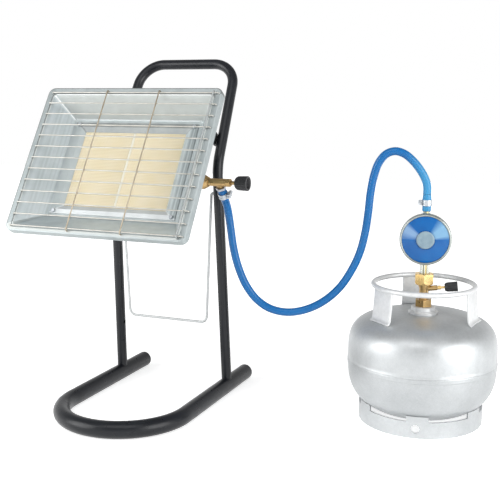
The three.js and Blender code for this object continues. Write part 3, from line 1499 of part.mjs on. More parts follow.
const gasCylinder = groupOf(
  lowerShell(),
  upperShell(),
  footRing(),
  handleRing(),
  ...Array.from({ length: STRAPS }, (_, i) => handleStrap(`handle_strap_${i + 1}`, i)),
  neckBoss(),
  cylinderValve(),
  branchGland(),
  cylinderSpindle(),
  cylinderKnob(),
  sealingWasher(),
  couplingNut(),
  regulatorBody(),
  diaphragm(),
  regulatorCover(),
  regulatorFace(),
  regulatorCap(),
  regulatorSpring(),
  hoseEnd("hose_end_regulator", regulatorHoseStart, REGULATOR_HOSE_END),
  regulatorHose,
);
gasCylinder.position.set(...CYLINDER_PLACE, 0);
gasCylinder.rotation.z = CYLINDER_TURN;

tiltingHead.updateMatrixWorld(true);
gasCylinder.updateMatrixWorld(true);

export default groupOf(stand, tiltingHead, gasHose(), gasCylinder);
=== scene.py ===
"""A portable radiant gas heater on its tube stand, with its hose, regulator and gas cylinder.

Metres, +X right, the front faces -Y, +Z up. The CAD model is loaded as a fixed frame. Pieces whose
outline or surface shows are rebuilt here with more detail, in the places that the frame gives.
"""

import json
import math
from contextlib import contextmanager

import bmesh
import bpy
import numpy as np
from mathutils import Matrix, Vector

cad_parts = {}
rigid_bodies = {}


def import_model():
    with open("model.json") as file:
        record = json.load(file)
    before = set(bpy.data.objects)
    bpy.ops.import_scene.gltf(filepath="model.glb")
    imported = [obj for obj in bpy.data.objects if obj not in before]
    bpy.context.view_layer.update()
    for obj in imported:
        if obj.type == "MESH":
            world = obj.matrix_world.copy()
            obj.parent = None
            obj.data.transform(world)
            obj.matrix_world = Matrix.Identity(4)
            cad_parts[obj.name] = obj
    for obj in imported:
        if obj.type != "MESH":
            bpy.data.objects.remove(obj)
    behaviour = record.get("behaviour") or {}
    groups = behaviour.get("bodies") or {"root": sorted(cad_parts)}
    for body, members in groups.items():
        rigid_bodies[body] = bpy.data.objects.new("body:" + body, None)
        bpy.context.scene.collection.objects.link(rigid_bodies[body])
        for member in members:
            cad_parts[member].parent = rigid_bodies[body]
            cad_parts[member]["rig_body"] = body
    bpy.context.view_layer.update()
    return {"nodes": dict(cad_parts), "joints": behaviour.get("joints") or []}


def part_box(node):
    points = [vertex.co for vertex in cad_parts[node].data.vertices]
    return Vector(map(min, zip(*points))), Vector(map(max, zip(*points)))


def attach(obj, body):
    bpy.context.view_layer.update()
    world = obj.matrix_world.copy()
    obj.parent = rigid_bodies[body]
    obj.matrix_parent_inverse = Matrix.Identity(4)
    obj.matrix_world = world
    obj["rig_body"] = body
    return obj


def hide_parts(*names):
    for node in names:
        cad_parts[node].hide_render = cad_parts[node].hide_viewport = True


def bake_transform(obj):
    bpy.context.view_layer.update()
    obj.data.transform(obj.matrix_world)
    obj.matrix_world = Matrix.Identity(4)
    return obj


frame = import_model()

MM = 0.001
STAND, HEAD, BAIL = "stand_and_cylinder", "head", "bail"

# ---- camera, solved from the photo

CAMERA_PLACE = (0.7182, -1.0990, 0.5152)
CAMERA_AZIMUTH = math.radians(22.74)
CAMERA_ELEVATION = math.radians(10.07)
FOCAL_PIXELS = 901.77
PHOTO_WIDTH = 500
SENSOR = 36.0

camera_data = bpy.data.cameras.new("camera")
camera_data.sensor_width = SENSOR
camera_data.lens = SENSOR * FOCAL_PIXELS / PHOTO_WIDTH
camera = bpy.data.objects.new("camera", camera_data)
camera.location = CAMERA_PLACE
camera.rotation_euler = (math.pi / 2 - CAMERA_ELEVATION, 0, CAMERA_AZIMUTH)
bpy.context.scene.collection.objects.link(camera)
bpy.context.scene.camera = camera

# ---- places of the assemblies

HEAD_LEAN = math.radians(32.4)
TILT_OVER_BURNER = 118 * MM
TILT_BEHIND_RIM = 150 * MM
VALVE_UP = 9.3 * MM
VALVE_BACK = 87.6 * MM
TAIL_ANGLE = math.radians(20.8)
TAIL_PLACE = 140 * MM
CYLINDER_TURN = math.radians(11.5)
BRANCH_TILT = math.radians(6.5)
BRANCH_HEIGHT = 209.5 * MM
REGULATOR_HEIGHT = 290.25 * MM
REGULATOR_FORWARD = 11.5 * MM


def move(x, y, z):
    return Matrix.Translation((x, y, z))


def turn(angle, axis):
    return Matrix.Rotation(angle, 4, axis)


def joint_place(name):
    return Vector(next(j for j in frame["joints"] if j["name"] == name)["pos_m"])


head_place = move(*joint_place("head_tilt")) @ turn(math.pi / 2 - HEAD_LEAN, "X")
head_place = head_place @ move(0, -TILT_OVER_BURNER, TILT_BEHIND_RIM)
TO_X = turn(math.pi / 2, "Y")
valve_place = head_place @ move(0, VALVE_UP, -VALVE_BACK) @ TO_X
tail_place = head_place @ move(TAIL_PLACE, VALVE_UP, -VALVE_BACK) @ turn(math.pi - TAIL_ANGLE, "X")

ring_low, ring_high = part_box("handle_ring")
cylinder_middle = (Vector(ring_low) + Vector(ring_high)) / 2
cylinder_place = move(cylinder_middle.x, cylinder_middle.y, 0) @ turn(CYLINDER_TURN, "Z")
branch_place = cylinder_place @ move(0, 0, BRANCH_HEIGHT) @ turn(-BRANCH_TILT, "Y") @ TO_X
regulator_place = cylinder_place @ move(0, -REGULATOR_FORWARD, REGULATOR_HEIGHT) @ turn(math.pi / 2, "X")


def extent(node, place):
    """Lowest and highest corner of a CAD node in the coordinates of `place`."""
    inverse = place.inverted()
    points = np.array([inverse @ v.co for v in frame["nodes"][node].data.vertices])
    return Vector(points.min(axis=0)), Vector(points.max(axis=0))


def extent_mm(node, place):
    return [corner / MM for corner in extent(node, place)]


# ---- mesh helpers

SHARP = 35  # degrees between faces, from which their edge counts as sharp
SAME_POINT = 1e-7
SAME_CAD_POINT = 1e-6
ROUNDING_STEPS = 3


def add_object(name, mesh, place=None, sharp=SHARP):
    mesh.set_sharp_from_angle(angle=math.radians(sharp))
    if place is not None:
        mesh.transform(place)
    obj = bpy.data.objects.new(name, mesh)
    bpy.context.scene.collection.objects.link(obj)
    return obj


@contextmanager
def editing(mesh):
    """A mesh opened for editing, written back and shaded smooth afterwards."""
    edit = bmesh.new()
    edit.from_mesh(mesh)
    yield edit
    edit.to_mesh(mesh)
    edit.free()
    mesh.shade_smooth()


def mesh_of(name, vertices, faces):
    mesh = bpy.data.meshes.new(name)
    mesh.from_pydata([tuple(v) for v in vertices], [], faces)
    with editing(mesh) as edit:
        bmesh.ops.remove_doubles(edit, verts=edit.verts, dist=SAME_POINT)
        bmesh.ops.recalc_face_normals(edit, faces=edit.faces)
    return mesh


def metres(profile):
    """A profile in millimetres brought to metres."""
    return [(r * MM, z * MM) for r, z in profile]


def grid(rows, columns, closed=False, around=False):
    """Faces between rows of vertices. closed joins the last row to the first, around the last column."""
    faces = []
    for i in range(rows if closed else rows - 1):
        a, b = i * columns, (i + 1) % rows * columns
        for k in range(columns if around else columns - 1):
            n = (k + 1) % columns
            faces.append((a + k, a + n, b + n, b + k))
    return faces


def lathe(name, profile, place, sides=64, ring=False, sharp=SHARP):
    """A profile of (radius, height) turned about Z. The profile of a ring is closed."""
    vertices = []
    for i in range(sides):
        angle = 2 * math.pi * i / sides
        vertices += [(r * math.cos(angle), r * math.sin(angle), z) for r, z in profile]
    return add_object(name, mesh_of(name, vertices, grid(sides, len(profile), True, ring)), place, sharp)


def rounded(profile, radius):
    """An open profile whose inner corners are rounded, so that its edges catch the light."""
    points = [Vector(p) for p in profile]
    result = [points[0]]
    for before, corner, after in zip(points, points[1:], points[2:]):
        # Less than half of a side, so that neighbouring roundings never meet.
        reach = min(radius, (before - corner).length / 2.1, (after - corner).length / 2.1)
        start = corner + (before - corner).normalized() * reach
        end = corner + (after - corner).normalized() * reach
        for i in range(ROUNDING_STEPS + 1):
            t = i / ROUNDING_STEPS
            result.append(start * (1 - t) ** 2 + corner * 2 * t * (1 - t) + end * t**2)
    result.append(points[-1])
    return [tuple(p) for p in result]


def bent(corners, radii, spacing):
    """Points along straight runs joined by round bends."""
    points = [Vector(c) for c in corners]
    line = [points[0]]
    for before, corner, after, radius in zip(points, points[1:], points[2:], radii):
        going, leaving = (corner - before).normalized(), (after - corner).normalized()
        angle = going.angle(leaving)
        inward = (leaving - going * going.dot(leaving)).normalized()
        start = corner - going * radius * math.tan(angle / 2)
        steps = max(4, math.ceil(radius * angle / spacing))
        for i in range(steps + 1):
            a = angle * i / steps
            line.append(start + going * radius * math.sin(a) + inward * radius * (1 - math.cos(a)))
    return [*line, points[-1]]


def capped(rings, sides):
    """Faces between round rings of vertices, with a flat cap at each end."""
    last = rings * sides
    return [*grid(rings, sides, around=True), tuple(reversed(range(sides))), tuple(range(last - sides, last))]


def round_ends(rings, amount):
    """Ends whose edge is rounded off by `amount`."""
    (p0, t0, s0, radius), (p1, t1, s1, _) = rings[0], rings[-1]
    curve = []
    for i in range(ROUNDING_STEPS + 1):
        a = i / ROUNDING_STEPS * math.pi / 2
        curve.append((amount * (1 - math.sin(a)), radius - amount * (1 - math.cos(a))))
    first = [(p0 + t0 * along, t0, s0, r) for along, r in reversed(curve)]
    last = [(p1 - t1 * along, t1, s1, r) for along, r in curve]
    return [*first, *rings[1:-1], *last]


def bar(name, line, radius, sides=24, rounded_ends=0.0, place=None):
    """A round bar along a line, its rings turned as little as possible from one to the next."""
    line = [Vector(p) for p in line]
    line = [p for i, p in enumerate(line) if i == 0 or (p - line[i - 1]).length > SAME_CAD_POINT]
    tangents = []
    for i in range(len(line)):
        a, b = line[max(i - 1, 0)], line[min(i + 1, len(line) - 1)]
        tangents.append((b - a).normalized())
    across = tangents[0].orthogonal().normalized()
    rings = []
    for point, tangent in zip(line, tangents):
        across = (across - tangent * across.dot(tangent)).normalized()
        rings.append((point, tangent, across, radius))
    if rounded_ends:
        rings = round_ends(rings, rounded_ends)
    vertices = []
    for point, tangent, side, r in rings:
        other = tangent.cross(side)
        for k in range(sides):
            angle = 2 * math.pi * k / sides
            vertices.append(point + (side * math.cos(angle) + other * math.sin(angle)) * r)
    return add_object(name, mesh_of(name, vertices, capped(len(rings), sides)), place)


def block(name, low, high, place, bevel=0.0, unit=1.0):
    low, high = Vector(low) * unit, Vector(high) * unit
    mesh = bpy.data.meshes.new(name)
    with editing(mesh) as edit:
        bmesh.ops.create_cube(edit, size=1)
        bmesh.ops.scale(edit, vec=high - low, verts=edit.verts)
        bmesh.ops.translate(edit, vec=(low + high) / 2, verts=edit.verts)
        if bevel:
            bmesh.ops.bevel(edit, geom=edit.edges, offset=bevel, segments=2, affect="EDGES", profile=0.5)
    return add_object(name, mesh, place)


def joined(name, *objects):
    """One object of several, each keeping its materials."""
    first, chosen = objects[0], list(objects)
    with bpy.context.temp_override(
        active_object=first, object=first, selected_objects=chosen, selected_editable_objects=chosen
    ):
        bpy.ops.object.join()
    first.name = name
    first.data.name = name
    return first


def carve(obj, *cutters):
    """Cuts the cutters out of an object and removes them."""
    for cutter in cutters:
        modifier = obj.modifiers.new("cut", "BOOLEAN")
        modifier.operation = "DIFFERENCE"
        modifier.solver = "EXACT"
        modifier.object = cutter
    bpy.context.view_layer.update()
    shaped = bpy.data.meshes.new_from_object(obj.evaluated_get(bpy.context.evaluated_depsgraph_get()))
    obj.modifiers.clear()
    obj.data = shaped
    shaped.set_sharp_from_angle(angle=math.radians(SHARP))
    for cutter in cutters:
        bpy.data.objects.remove(cutter)
    return obj


def round_edges(piece, width, degrees):
    """Rounds the edges that are sharper than an angle in degrees."""
    modifier = piece.modifiers.new("rounded edges", "BEVEL")
    modifier.width = width
    modifier.segments = 2
    modifier.limit_method = "ANGLE"
    modifier.angle_limit = math.radians(degrees)
    return modifier


def refined(node, bevel, sharp):
    """A copy of a CAD node with its flats merged, its edges rounded and its curves shaded smooth."""
    mesh = frame["nodes"][node].data.copy()
    with editing(mesh) as edit:
        bmesh.ops.remove_doubles(edit, verts=edit.verts, dist=SAME_CAD_POINT)
        bmesh.ops.dissolve_limit(edit, angle_limit=math.radians(1), verts=edit.verts, edges=edit.edges)
    piece = add_object(node + "_shape", mesh, None, sharp)
    if bevel:
        round_edges(piece, bevel, sharp).harden_normals = True
    return piece


def lay_out(piece, corner):
    """Lays out a piece's faces by their places in metres from a corner, for finishes that follow them."""
    layer = piece.data.uv_layers.new(name="face")
    for loop in piece.data.loops:
        point = piece.data.vertices[loop.vertex_index].co
        layer.data[loop.index].uv = (point.x - corner[0], point.y - corner[1])


# ---- materials

NOISE_RANGE = (0.3, 0.7)  # where nearly all of a noise texture's values lie
GLOSS_PATCH = 0.37  # size of the gloss's patches, as a share of the colour's


class Tree:
    """A node tree, with short calls for the nodes that this script uses."""

    def __init__(self, tree):
        self.tree = tree

    def feed(self, socket, value):
        """Links a socket to another node's output, or sets it to a plain value."""
        if isinstance(value, bpy.types.NodeSocket):
            self.tree.links.new(value, socket)
        else:
            socket.default_value = value

    def add(self, kind, inputs=None, **settings):
        """A new shader node, its inputs fed by name or number."""
        node = self.tree.nodes.new("ShaderNode" + kind)
        for key, value in settings.items():
            setattr(node, key, value)
        for key, value in (inputs or {}).items():
            self.feed(node.inputs[key], value)
        return node

    def spread(self, value, low, high, start=0.0, end=1.0):
        """A value from start..end brought to low..high."""
        inputs = {"Value": value, "From Min": start, "From Max": end, "To Min": low, "To Max": high}
        return self.add("MapRange", inputs).outputs["Result"]

    def maths(self, operation, first, second=0.0):
        return self.add("Math", {0: first, 1: second}, operation=operation).outputs["Value"]

    def measure(self, operation, first, second):
        """A number from two vectors, such as their distance."""
        return self.add("VectorMath", {0: first, 1: second}, operation=operation).outputs["Value"]

    def split(self, vector):
        """The X, Y and Z of a vector."""
        return list(self.add("SeparateXYZ", {0: vector}).outputs)


class Nodes(Tree):
    """A material's node tree."""

    def __init__(self, name):
        self.material = bpy.data.materials.new(name)
        self.material.use_nodes = True
        super().__init__(self.material.node_tree)
        self.shader = self.tree.nodes["Principled BSDF"]
        self.place = self.add("TexCoord").outputs["Object"]

    def set(self, **inputs):
        """Feeds the shader's inputs, named with _ for each space."""
        for key, value in inputs.items():
            self.feed(self.shader.inputs[key.replace("_", " ")], value)

    def uv(self, layer):
        return self.add("UVMap", uv_map=layer).outputs["UV"]

    def scaled(self, size):
        """The object's own coordinates, in steps of `size`."""
        inputs = {"Vector": self.place, "Scale": [1 / size] * 3}
        return self.add("Mapping", inputs).outputs["Vector"]

    def noise(self, size, detail):
        inputs = {"Vector": self.scaled(size), "Scale": 1.0, "Detail": detail}
        return self.add("TexNoise", inputs).outputs["Fac"]

    def drift(self, size, detail, low=0, high=1):
        """A noise that wanders over the whole of low..high."""
        return self.spread(self.noise(size, detail), low, high, *NOISE_RANGE)

    def cells(self, size):
        texture = self.add("TexVoronoi", {"Vector": self.scaled(size), "Scale": 1.0})
        return self.add("RGBToBW", {"Color": texture.outputs["Color"]}).outputs["Val"]

    def mix(self, factor, first, second):
        first, second = ((*c, 1) if isinstance(c, tuple) else c for c in (first, second))
        return self.add("Mix", {0: factor, 6: first, 7: second}, data_type="RGBA").outputs[2]

    def tint(self, factor, colour):
        """Brings the base colour towards another one."""
        base = self.shader.inputs["Base Color"].links[0].from_socket
        self.set(Base_Color=self.mix(factor, base, colour))

    def bump(self, height, distance, strength=1.0):
        inputs = {"Height": height, "Distance": distance, "Strength": strength}
        self.set(Normal=self.add("Bump", inputs).outputs["Normal"])


def surface(name, dark, light, rough, metallic=0.0, patch=0.03, grain=0.0004, depth=0.00002, **values):
    """A finish whose colour and gloss wander a little, over a fine grain.

    dark and light are the ends of its colour, rough the ends of its roughness, patch the size of the
    colour's patches, and grain and depth the size and height of the grain.
    """
    nodes = Nodes(name)
    nodes.set(Base_Color=nodes.mix(nodes.drift(patch, 4.0), dark, light))
    nodes.set(Roughness=nodes.drift(patch * GLOSS_PATCH, 5.0, *rough), Metallic=metallic, **values)
    nodes.bump(nodes.noise(grain, 2.0), depth)
    return nodes


black_paint = surface("black paint", (0.006, 0.0072, 0.0105), (0.0095, 0.0112, 0.015), (0.26, 0.36),
                      grain=0.0009, Specular_IOR_Level=0.35).material
black_plastic = surface("black plastic", (0.016, 0.016, 0.018), (0.026, 0.026, 0.029), (0.42, 0.56),
                        patch=0.01, grain=0.0003, depth=0.00004).material
grey_wire = surface("pale grey wire", (0.6, 0.62, 0.62), (0.68, 0.7, 0.7), (0.5, 0.6), 0.15,
                    patch=0.012).material
bright_wire = surface("bright wire", (0.46, 0.45, 0.41), (0.58, 0.57, 0.53), (0.36, 0.46), 0.55,
                      patch=0.01).material
dull_wire = surface("dull wire", (0.34, 0.36, 0.36), (0.44, 0.46, 0.46), (0.5, 0.6), 0.5,
                    patch=0.01).material
bronze_wire = surface("heat-tinted wire", (0.3, 0.25, 0.18), (0.46, 0.4, 0.31), (0.3, 0.45), 0.7,
                      patch=0.014).material
fibre = surface("ceramic fibre", (0.8, 0.77, 0.66), (0.88, 0.86, 0.76), (0.85, 0.95), grain=0.0006,
                depth=0.0002).material
zinc = surface("zinc plate", (0.42, 0.45, 0.48), (0.6, 0.63, 0.66), (0.26, 0.38), 0.9, patch=0.008).material
chrome = surface("chrome plate", (0.31, 0.335, 0.32), (0.41, 0.44, 0.42), (0.26, 0.34), 0.9, patch=0.01,
                 depth=0.000002).material
steel = surface("plain steel", (0.36, 0.37, 0.39), (0.5, 0.5, 0.52), (0.3, 0.42), 0.9, patch=0.01).material
brass = surface("brass", (0.4, 0.26, 0.105), (0.54, 0.37, 0.17), (0.26, 0.34), 0.9, patch=0.02,
                grain=0.0008, depth=0.000001).material
bright_brass = surface("bright brass", (0.84, 0.56, 0.2), (0.92, 0.68, 0.32), (0.24, 0.32), 0.85,
                       patch=0.02, grain=0.0008, depth=0.000001).material
rubber = surface("black rubber", (0.015, 0.015, 0.016), (0.025, 0.025, 0.026), (0.6, 0.75)).material
grey_plastic = surface("pale grey plastic", (0.22, 0.32, 0.39), (0.3, 0.41, 0.47), (0.4, 0.5),
                       patch=0.008).material

# The regulator's stem: a point on its axis, and its streaks of painted reflection, dark and golden: middle
# and half width across the camera's view, in millimetres, and colour.
STEM_AXIS = Vector((0.4363, 0.2754, 0))
STEM_PAINTED_REFLECTIONS = [(-2.9, 0.9, (0.2, 0.2, 0.12)), (0.6, 1.0, (0.62, 0.5, 0.2)), (2.5, 0.6, (0.16, 0.15, 0.1))]
# The regulator's paler sectors, painted reflections: start and end about its axis, in radians from the right,
# and colour.
PAINTED_REFLECTION_SECTORS = [(0.12, 0.95, (0.23, 0.45, 0.67)), (2.45, 3.05, (0.25, 0.41, 0.65))]
# The hose's paler end is a painted highlight.
PAINTED_HOSE_HIGHLIGHT = (0.405, 0.436)  # from where to where in X the hose turns paler
MOTTLE, FLAKE = 6 * MM, 0.5 * MM  # sizes in the silver paint
PRESS_MARK = 6 * MM  # usual width of a mark of the press
# The sheet's paler foot is painted light.
PAINTED_LIGHT_FOOT = (0.37, 0.27)  # from where down to where the sheet turns paler
TILE_PITCH = 2.9 * MM  # of the flame holes
ROW_SHARE = 0.866  # of the pitch, between staggered rows


def stem_material():
    """Bright plate with long dark and golden streaks of painted reflection, laid across the camera's view."""
    nodes = surface("polished stem with painted reflections", (0.6, 0.62, 0.56), (0.7, 0.72, 0.66), (0.2, 0.28), 0.85, patch=0.01,
                    depth=0.000001)
    sideways = Vector((math.cos(CAMERA_AZIMUTH), math.sin(CAMERA_AZIMUTH), 0))
    across = nodes.measure("DOT_PRODUCT", nodes.place, sideways)
    # Each streak is a painted reflection, dark or golden.
    for middle, half, colour in STEM_PAINTED_REFLECTIONS:
        streak = sideways.dot(STEM_AXIS) + middle * MM
        away = nodes.maths("ABSOLUTE", nodes.maths("SUBTRACT", across, streak))
        nodes.tint(nodes.spread(away, 1, 0, half * 0.6 * MM, half * 1.4 * MM), colour)
    return nodes.material


def hose_material():
    """Smooth blue hose, paler over its last bend down to the regulator: a painted highlight."""
    nodes = surface("blue hose", (0.004, 0.135, 0.4), (0.008, 0.16, 0.46), (0.22, 0.3), patch=0.05,
                    grain=0.0012, depth=0.00001, Specular_IOR_Level=0.36)
    # Painted highlight: a paler blue towards the regulator.
    nodes.tint(nodes.spread(nodes.split(nodes.place)[0], 0, 0.8, *PAINTED_HOSE_HIGHLIGHT), (0.06, 0.34, 0.62))
    return nodes.material


def enamel_material():
    """Glossy blue, its paler sectors of painted reflection laid out by the angle about the regulator's axis.
    """
    nodes = surface("blue enamel", (0.001, 0.11, 0.39), (0.002, 0.14, 0.45), (0.05, 0.08), patch=0.02,
                    Specular_IOR_Level=0.35)
    right, up, _ = nodes.split(nodes.uv("face"))
    angle = nodes.maths("ARCTAN2", up, right)
    # Each sector is a painted reflection.
    for start, end, pale in PAINTED_REFLECTION_SECTORS:
        after = nodes.spread(angle, 0, 1, start - 0.1, start + 0.1)
        before = nodes.spread(angle, 1, 0, end - 0.25, end + 0.15)
        nodes.tint(nodes.maths("MULTIPLY", after, before), pale)
    return nodes.material


def silver_paint_material(name, dark, light, metallic):
    """Metallic paint: fine bright flakes and grey mottling under a soft orange-peel skin."""
    nodes = surface(name, dark, light, (0.4, 0.47), metallic, patch=0.05, grain=0.0016,
                    Coat_Weight=0.1, Coat_Roughness=0.3)
    nodes.tint(nodes.spread(nodes.noise(MOTTLE, 5.0), 0, 0.22, 0.35, 0.75), (0.34, 0.36, 0.36))
    nodes.tint(nodes.spread(nodes.cells(FLAKE), 0, 0.35, 0.55, 1), (0.8, 0.81, 0.82))
    return nodes.material


def galvanised_material(name, dark, light, marks=0.0, foot=0.0):
    """Bright zinc-coated sheet, with the marks of the press and a paler foot of painted light, each by its
    strength.
    """
    nodes = Nodes(name)
    wander = nodes.drift(0.02, 3.0)
    nodes.set(Base_Color=nodes.mix(wander, dark, light))
    if marks:
        marked, along, _ = nodes.split(nodes.uv("sheet"))
        inputs = {"W": along, "Scale": 1 / PRESS_MARK, "Detail": 1.0}
        band = nodes.add("TexNoise", inputs, noise_dimensions="1D")
        dip = nodes.spread(band.outputs["Fac"], 0, marks, 0.42, 0.62)
        nodes.tint(nodes.maths("MULTIPLY", dip, marked), (0.19, 0.22, 0.225))
    # The paler foot is painted light.
    if foot:
        height = nodes.split(nodes.place)[2]
        nodes.tint(nodes.spread(height, 0, foot, *PAINTED_LIGHT_FOOT), (0.78, 0.84, 0.86))
    nodes.set(Roughness=nodes.spread(wander, 0.44, 0.52), Metallic=0.6)
    return nodes.material


def tile_material():
    """Cream ceramic pierced by staggered rows of fine holes, laid out on the tile's own face; the holes' dark
    brown is painted shade.
    """
    nodes = Nodes("pierced ceramic")
    right, up, _ = nodes.split(nodes.uv("face"))
    row = nodes.maths("DIVIDE", up, TILE_PITCH * ROW_SHARE)
    shift = nodes.maths("MULTIPLY", nodes.maths("MODULO", nodes.maths("FLOOR", row), 2.0), 0.5)
    column = nodes.maths("ADD", nodes.maths("DIVIDE", right, TILE_PITCH), shift)
    across = nodes.maths("SUBTRACT", nodes.maths("FRACT", column), 0.5)
    along = nodes.maths("MULTIPLY", nodes.maths("SUBTRACT", nodes.maths("FRACT", row), 0.5), ROW_SHARE)
    squares = [nodes.maths("MULTIPLY", side, side) for side in (across, along)]
    hole = nodes.spread(nodes.maths("SQRT", nodes.maths("ADD", *squares)), 1, 0, 0.2, 0.3)
    nodes.set(Base_Color=nodes.mix(nodes.drift(0.02, 4.0), (0.88, 0.79, 0.56), (0.94, 0.86, 0.66)))
    # The holes' darkness is painted shade in the holes.
    nodes.tint(hole, (0.44, 0.33, 0.17))
    nodes.set(Roughness=0.9, Specular_IOR_Level=0.2)
    height = nodes.maths("SUBTRACT", nodes.spread(nodes.noise(0.0008, 2.0), 0, 0.2), hole)
    nodes.bump(height, 0.0004, 0.5)
    return nodes.material


stem_plate_painted_reflections = stem_material()
blue_hose = hose_material()
blue_enamel = enamel_material()
ceramic = tile_material()
silver_paint = silver_paint_material("silver paint", (0.49, 0.51, 0.52), (0.57, 0.59, 0.6), 0.7)
# A darker copy of the silver paint for the lower shell: painted shade.
shaded_silver_paint = silver_paint_material("shaded silver paint", (0.44, 0.46, 0.47), (0.52, 0.54, 0.55), 0.7)
strap_paint = silver_paint_material("pale silver paint", (0.72, 0.73, 0.735), (0.8, 0.81, 0.815), 0.35)

# The pressed sheets' finishes, most of them the same galvanised sheet painted lighter or darker by where a
# strip faces (painted highlights, painted shade and painted light): name, darker and lighter tone, and
# strength of press marks and paler foot.
PLAIN, PAINTED_HIGHLIGHT, WALL, LOWER_WALL_PAINTED_LIGHT, FLANGE_PAINTED_LIGHT, UPPER_WALL_PAINTED_LIGHT, SHADED, LEFT_WALL_PAINTED_LIGHT, RIM_SIDE_PAINTED_SHADE = range(9)
SHEET_FINISHES_AND_PAINTED_LIGHT = [
    ("galvanised sheet", (0.4, 0.445, 0.45), (0.46, 0.505, 0.51)),
    ("painted highlight on bends", (0.76, 0.79, 0.79), (0.88, 0.9, 0.9)),
    ("dish wall", (0.44, 0.49, 0.5), (0.52, 0.57, 0.58), 0.7),
    ("lower dish wall with painted light", (0.5, 0.56, 0.58), (0.6, 0.66, 0.68)),
    ("flange with painted light", (0.58, 0.61, 0.62), (0.68, 0.71, 0.72)),
    ("upper dish wall with painted light", (0.47, 0.5, 0.49), (0.53, 0.56, 0.55)),
    ("painted shade on bends", (0.23, 0.25, 0.25), (0.31, 0.33, 0.33)),
    ("left dish wall with painted light", (0.4, 0.445, 0.46), (0.48, 0.525, 0.54), 0.25, 0.5),
    ("side of the rim with painted shade", (0.32, 0.36, 0.365), (0.38, 0.42, 0.425)),
]
sheets = [galvanised_material(*row) for row in SHEET_FINISHES_AND_PAINTED_LIGHT]


def dress(obj, material, body, *nodes):
    """Gives a piece its material and its body, and hides the CAD nodes that it stands for."""
    if material is not None:
        obj.data.materials.clear()
        obj.data.materials.append(material)
    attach(obj, body)
    if nodes:
        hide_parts(*nodes)


# The nodes that keep their CAD shape: material, rounding of the edges in millimetres, angle from which
# an edge counts as sharp in degrees, and nodes.
REFINED = [
    (black_plastic, 0.2, 32, "tilt_washer_left", "tilt_washer_right", "tilt_bolt_left", "tilt_bolt_right"),
    (black_paint, 0.5, 32, "tilt_bracket"),
    (sheets[PLAIN], 0.4, 20, "burner_box"),
    (zinc, 0.25, 32, *(f"{place}_screw_{i}" for place in ("tile_frame", "bracket") for i in range(1, 5))),
    (brass, 0.3, 40, "heater_valve_body", "gland_nut"),
    (brass, 0.2, 40, "heater_valve_spindle", "injector"),
    (steel, 0.2, 40, "venturi_tube", "hose_tail"),
    (silver_paint, 0.7, 32, "foot_ring"),
    (brass, 0.4, 30, "cylinder_valve"),
    (bright_brass, 0.4, 30, "coupling_nut"),
    (bright_brass, 0.2, 40, "cylinder_gland", "cylinder_spindle"),
    (rubber, 0.1, 32, "sealing_washer", "regulator_diaphragm"),
    (stem_plate_painted_reflections, 0.4, 30, "regulator_body"),
    (steel, 0.0, 60, "regulator_spring"),
]


def dress_refined():
    for material, bevel, sharp, *nodes in REFINED:
        for node in nodes:
            body = frame["nodes"][node]["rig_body"]
            dress(refined(node, bevel * MM, sharp), material, body, node)


dress_refined()

# ---- gas hose

HOSE_DIAMETER = 12.5 * MM
HOSE_ROUTE = [
    (0.1398, 0.1876, 0.3349), (0.1405, 0.1926, 0.3200), (0.1435, 0.1936, 0.2970), (0.1485, 0.1930, 0.2670),
    (0.1565, 0.1930, 0.2380), (0.1690, 0.1950, 0.2090), (0.1860, 0.1990, 0.1860), (0.2075, 0.2050, 0.1715),
    (0.2340, 0.2130, 0.1665), (0.2620, 0.2220, 0.1720), (0.2880, 0.2300, 0.1860), (0.3110, 0.2370, 0.2080),
    (0.3285, 0.2420, 0.2360), (0.3405, 0.2460, 0.2650), (0.3475, 0.2485, 0.2960), (0.3515, 0.2500, 0.3280),
    (0.3540, 0.2510, 0.3580), (0.3580, 0.2525, 0.3830), (0.3650, 0.2545, 0.4050), (0.3755, 0.2575, 0.4185),
    (0.3885, 0.2610, 0.4230), (0.4020, 0.2655, 0.4190), (0.4150, 0.2695, 0.4080), (0.4260, 0.2725, 0.3940),
    (0.4333, 0.2746, 0.3805), (0.4363, 0.2754, 0.3695),
]
SPAN_STEPS = 9
FACE_GAP = 0.3 * MM


def smooth_route(points):
    """A centripetal Catmull-Rom curve through the points."""
    points = [np.array(p, float) for p in points]
    points = [2 * points[0] - points[1], *points, 2 * points[-1] - points[-2]]
    line = []
    for p0, p1, p2, p3 in zip(points, points[1:], points[2:], points[3:]):
        d0, d1, d2 = (np.linalg.norm(b - a) ** 0.5 for a, b in ((p0, p1), (p1, p2), (p2, p3)))
        t1 = ((p1 - p0) / d0 - (p2 - p0) / (d0 + d1) + (p2 - p1) / d1) * d1
        t2 = ((p2 - p1) / d1 - (p3 - p1) / (d1 + d2) + (p3 - p2) / d2) * d1
        for i in range(SPAN_STEPS):
            s = i / SPAN_STEPS
            line.append((2 * s**3 - 3 * s**2 + 1) * p1 + (s**3 - 2 * s**2 + s) * t1
                        + (3 * s**2 - 2 * s**3) * p2 + (s**3 - s**2) * t2)
    return [Vector(p) for p in [*line, points[-2]]]


heater_end = extent("hose_end_heater", tail_place)[1].z + FACE_GAP
regulator_end = extent("hose_end_regulator", cylinder_place)[1].z + FACE_GAP
hose_start = tail_place @ Vector((0, 0, heater_end))
hose_stop = cylinder_place @ Vector((0, 0, regulator_end))
hose_line = smooth_route([hose_start, *HOSE_ROUTE, hose_stop])

hose = bar("gas_hose_tube", hose_line, HOSE_DIAMETER / 2, 28)
hose.data.materials.append(blue_hose)
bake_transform(hose)
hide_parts("gas_hose")

# ---- stand

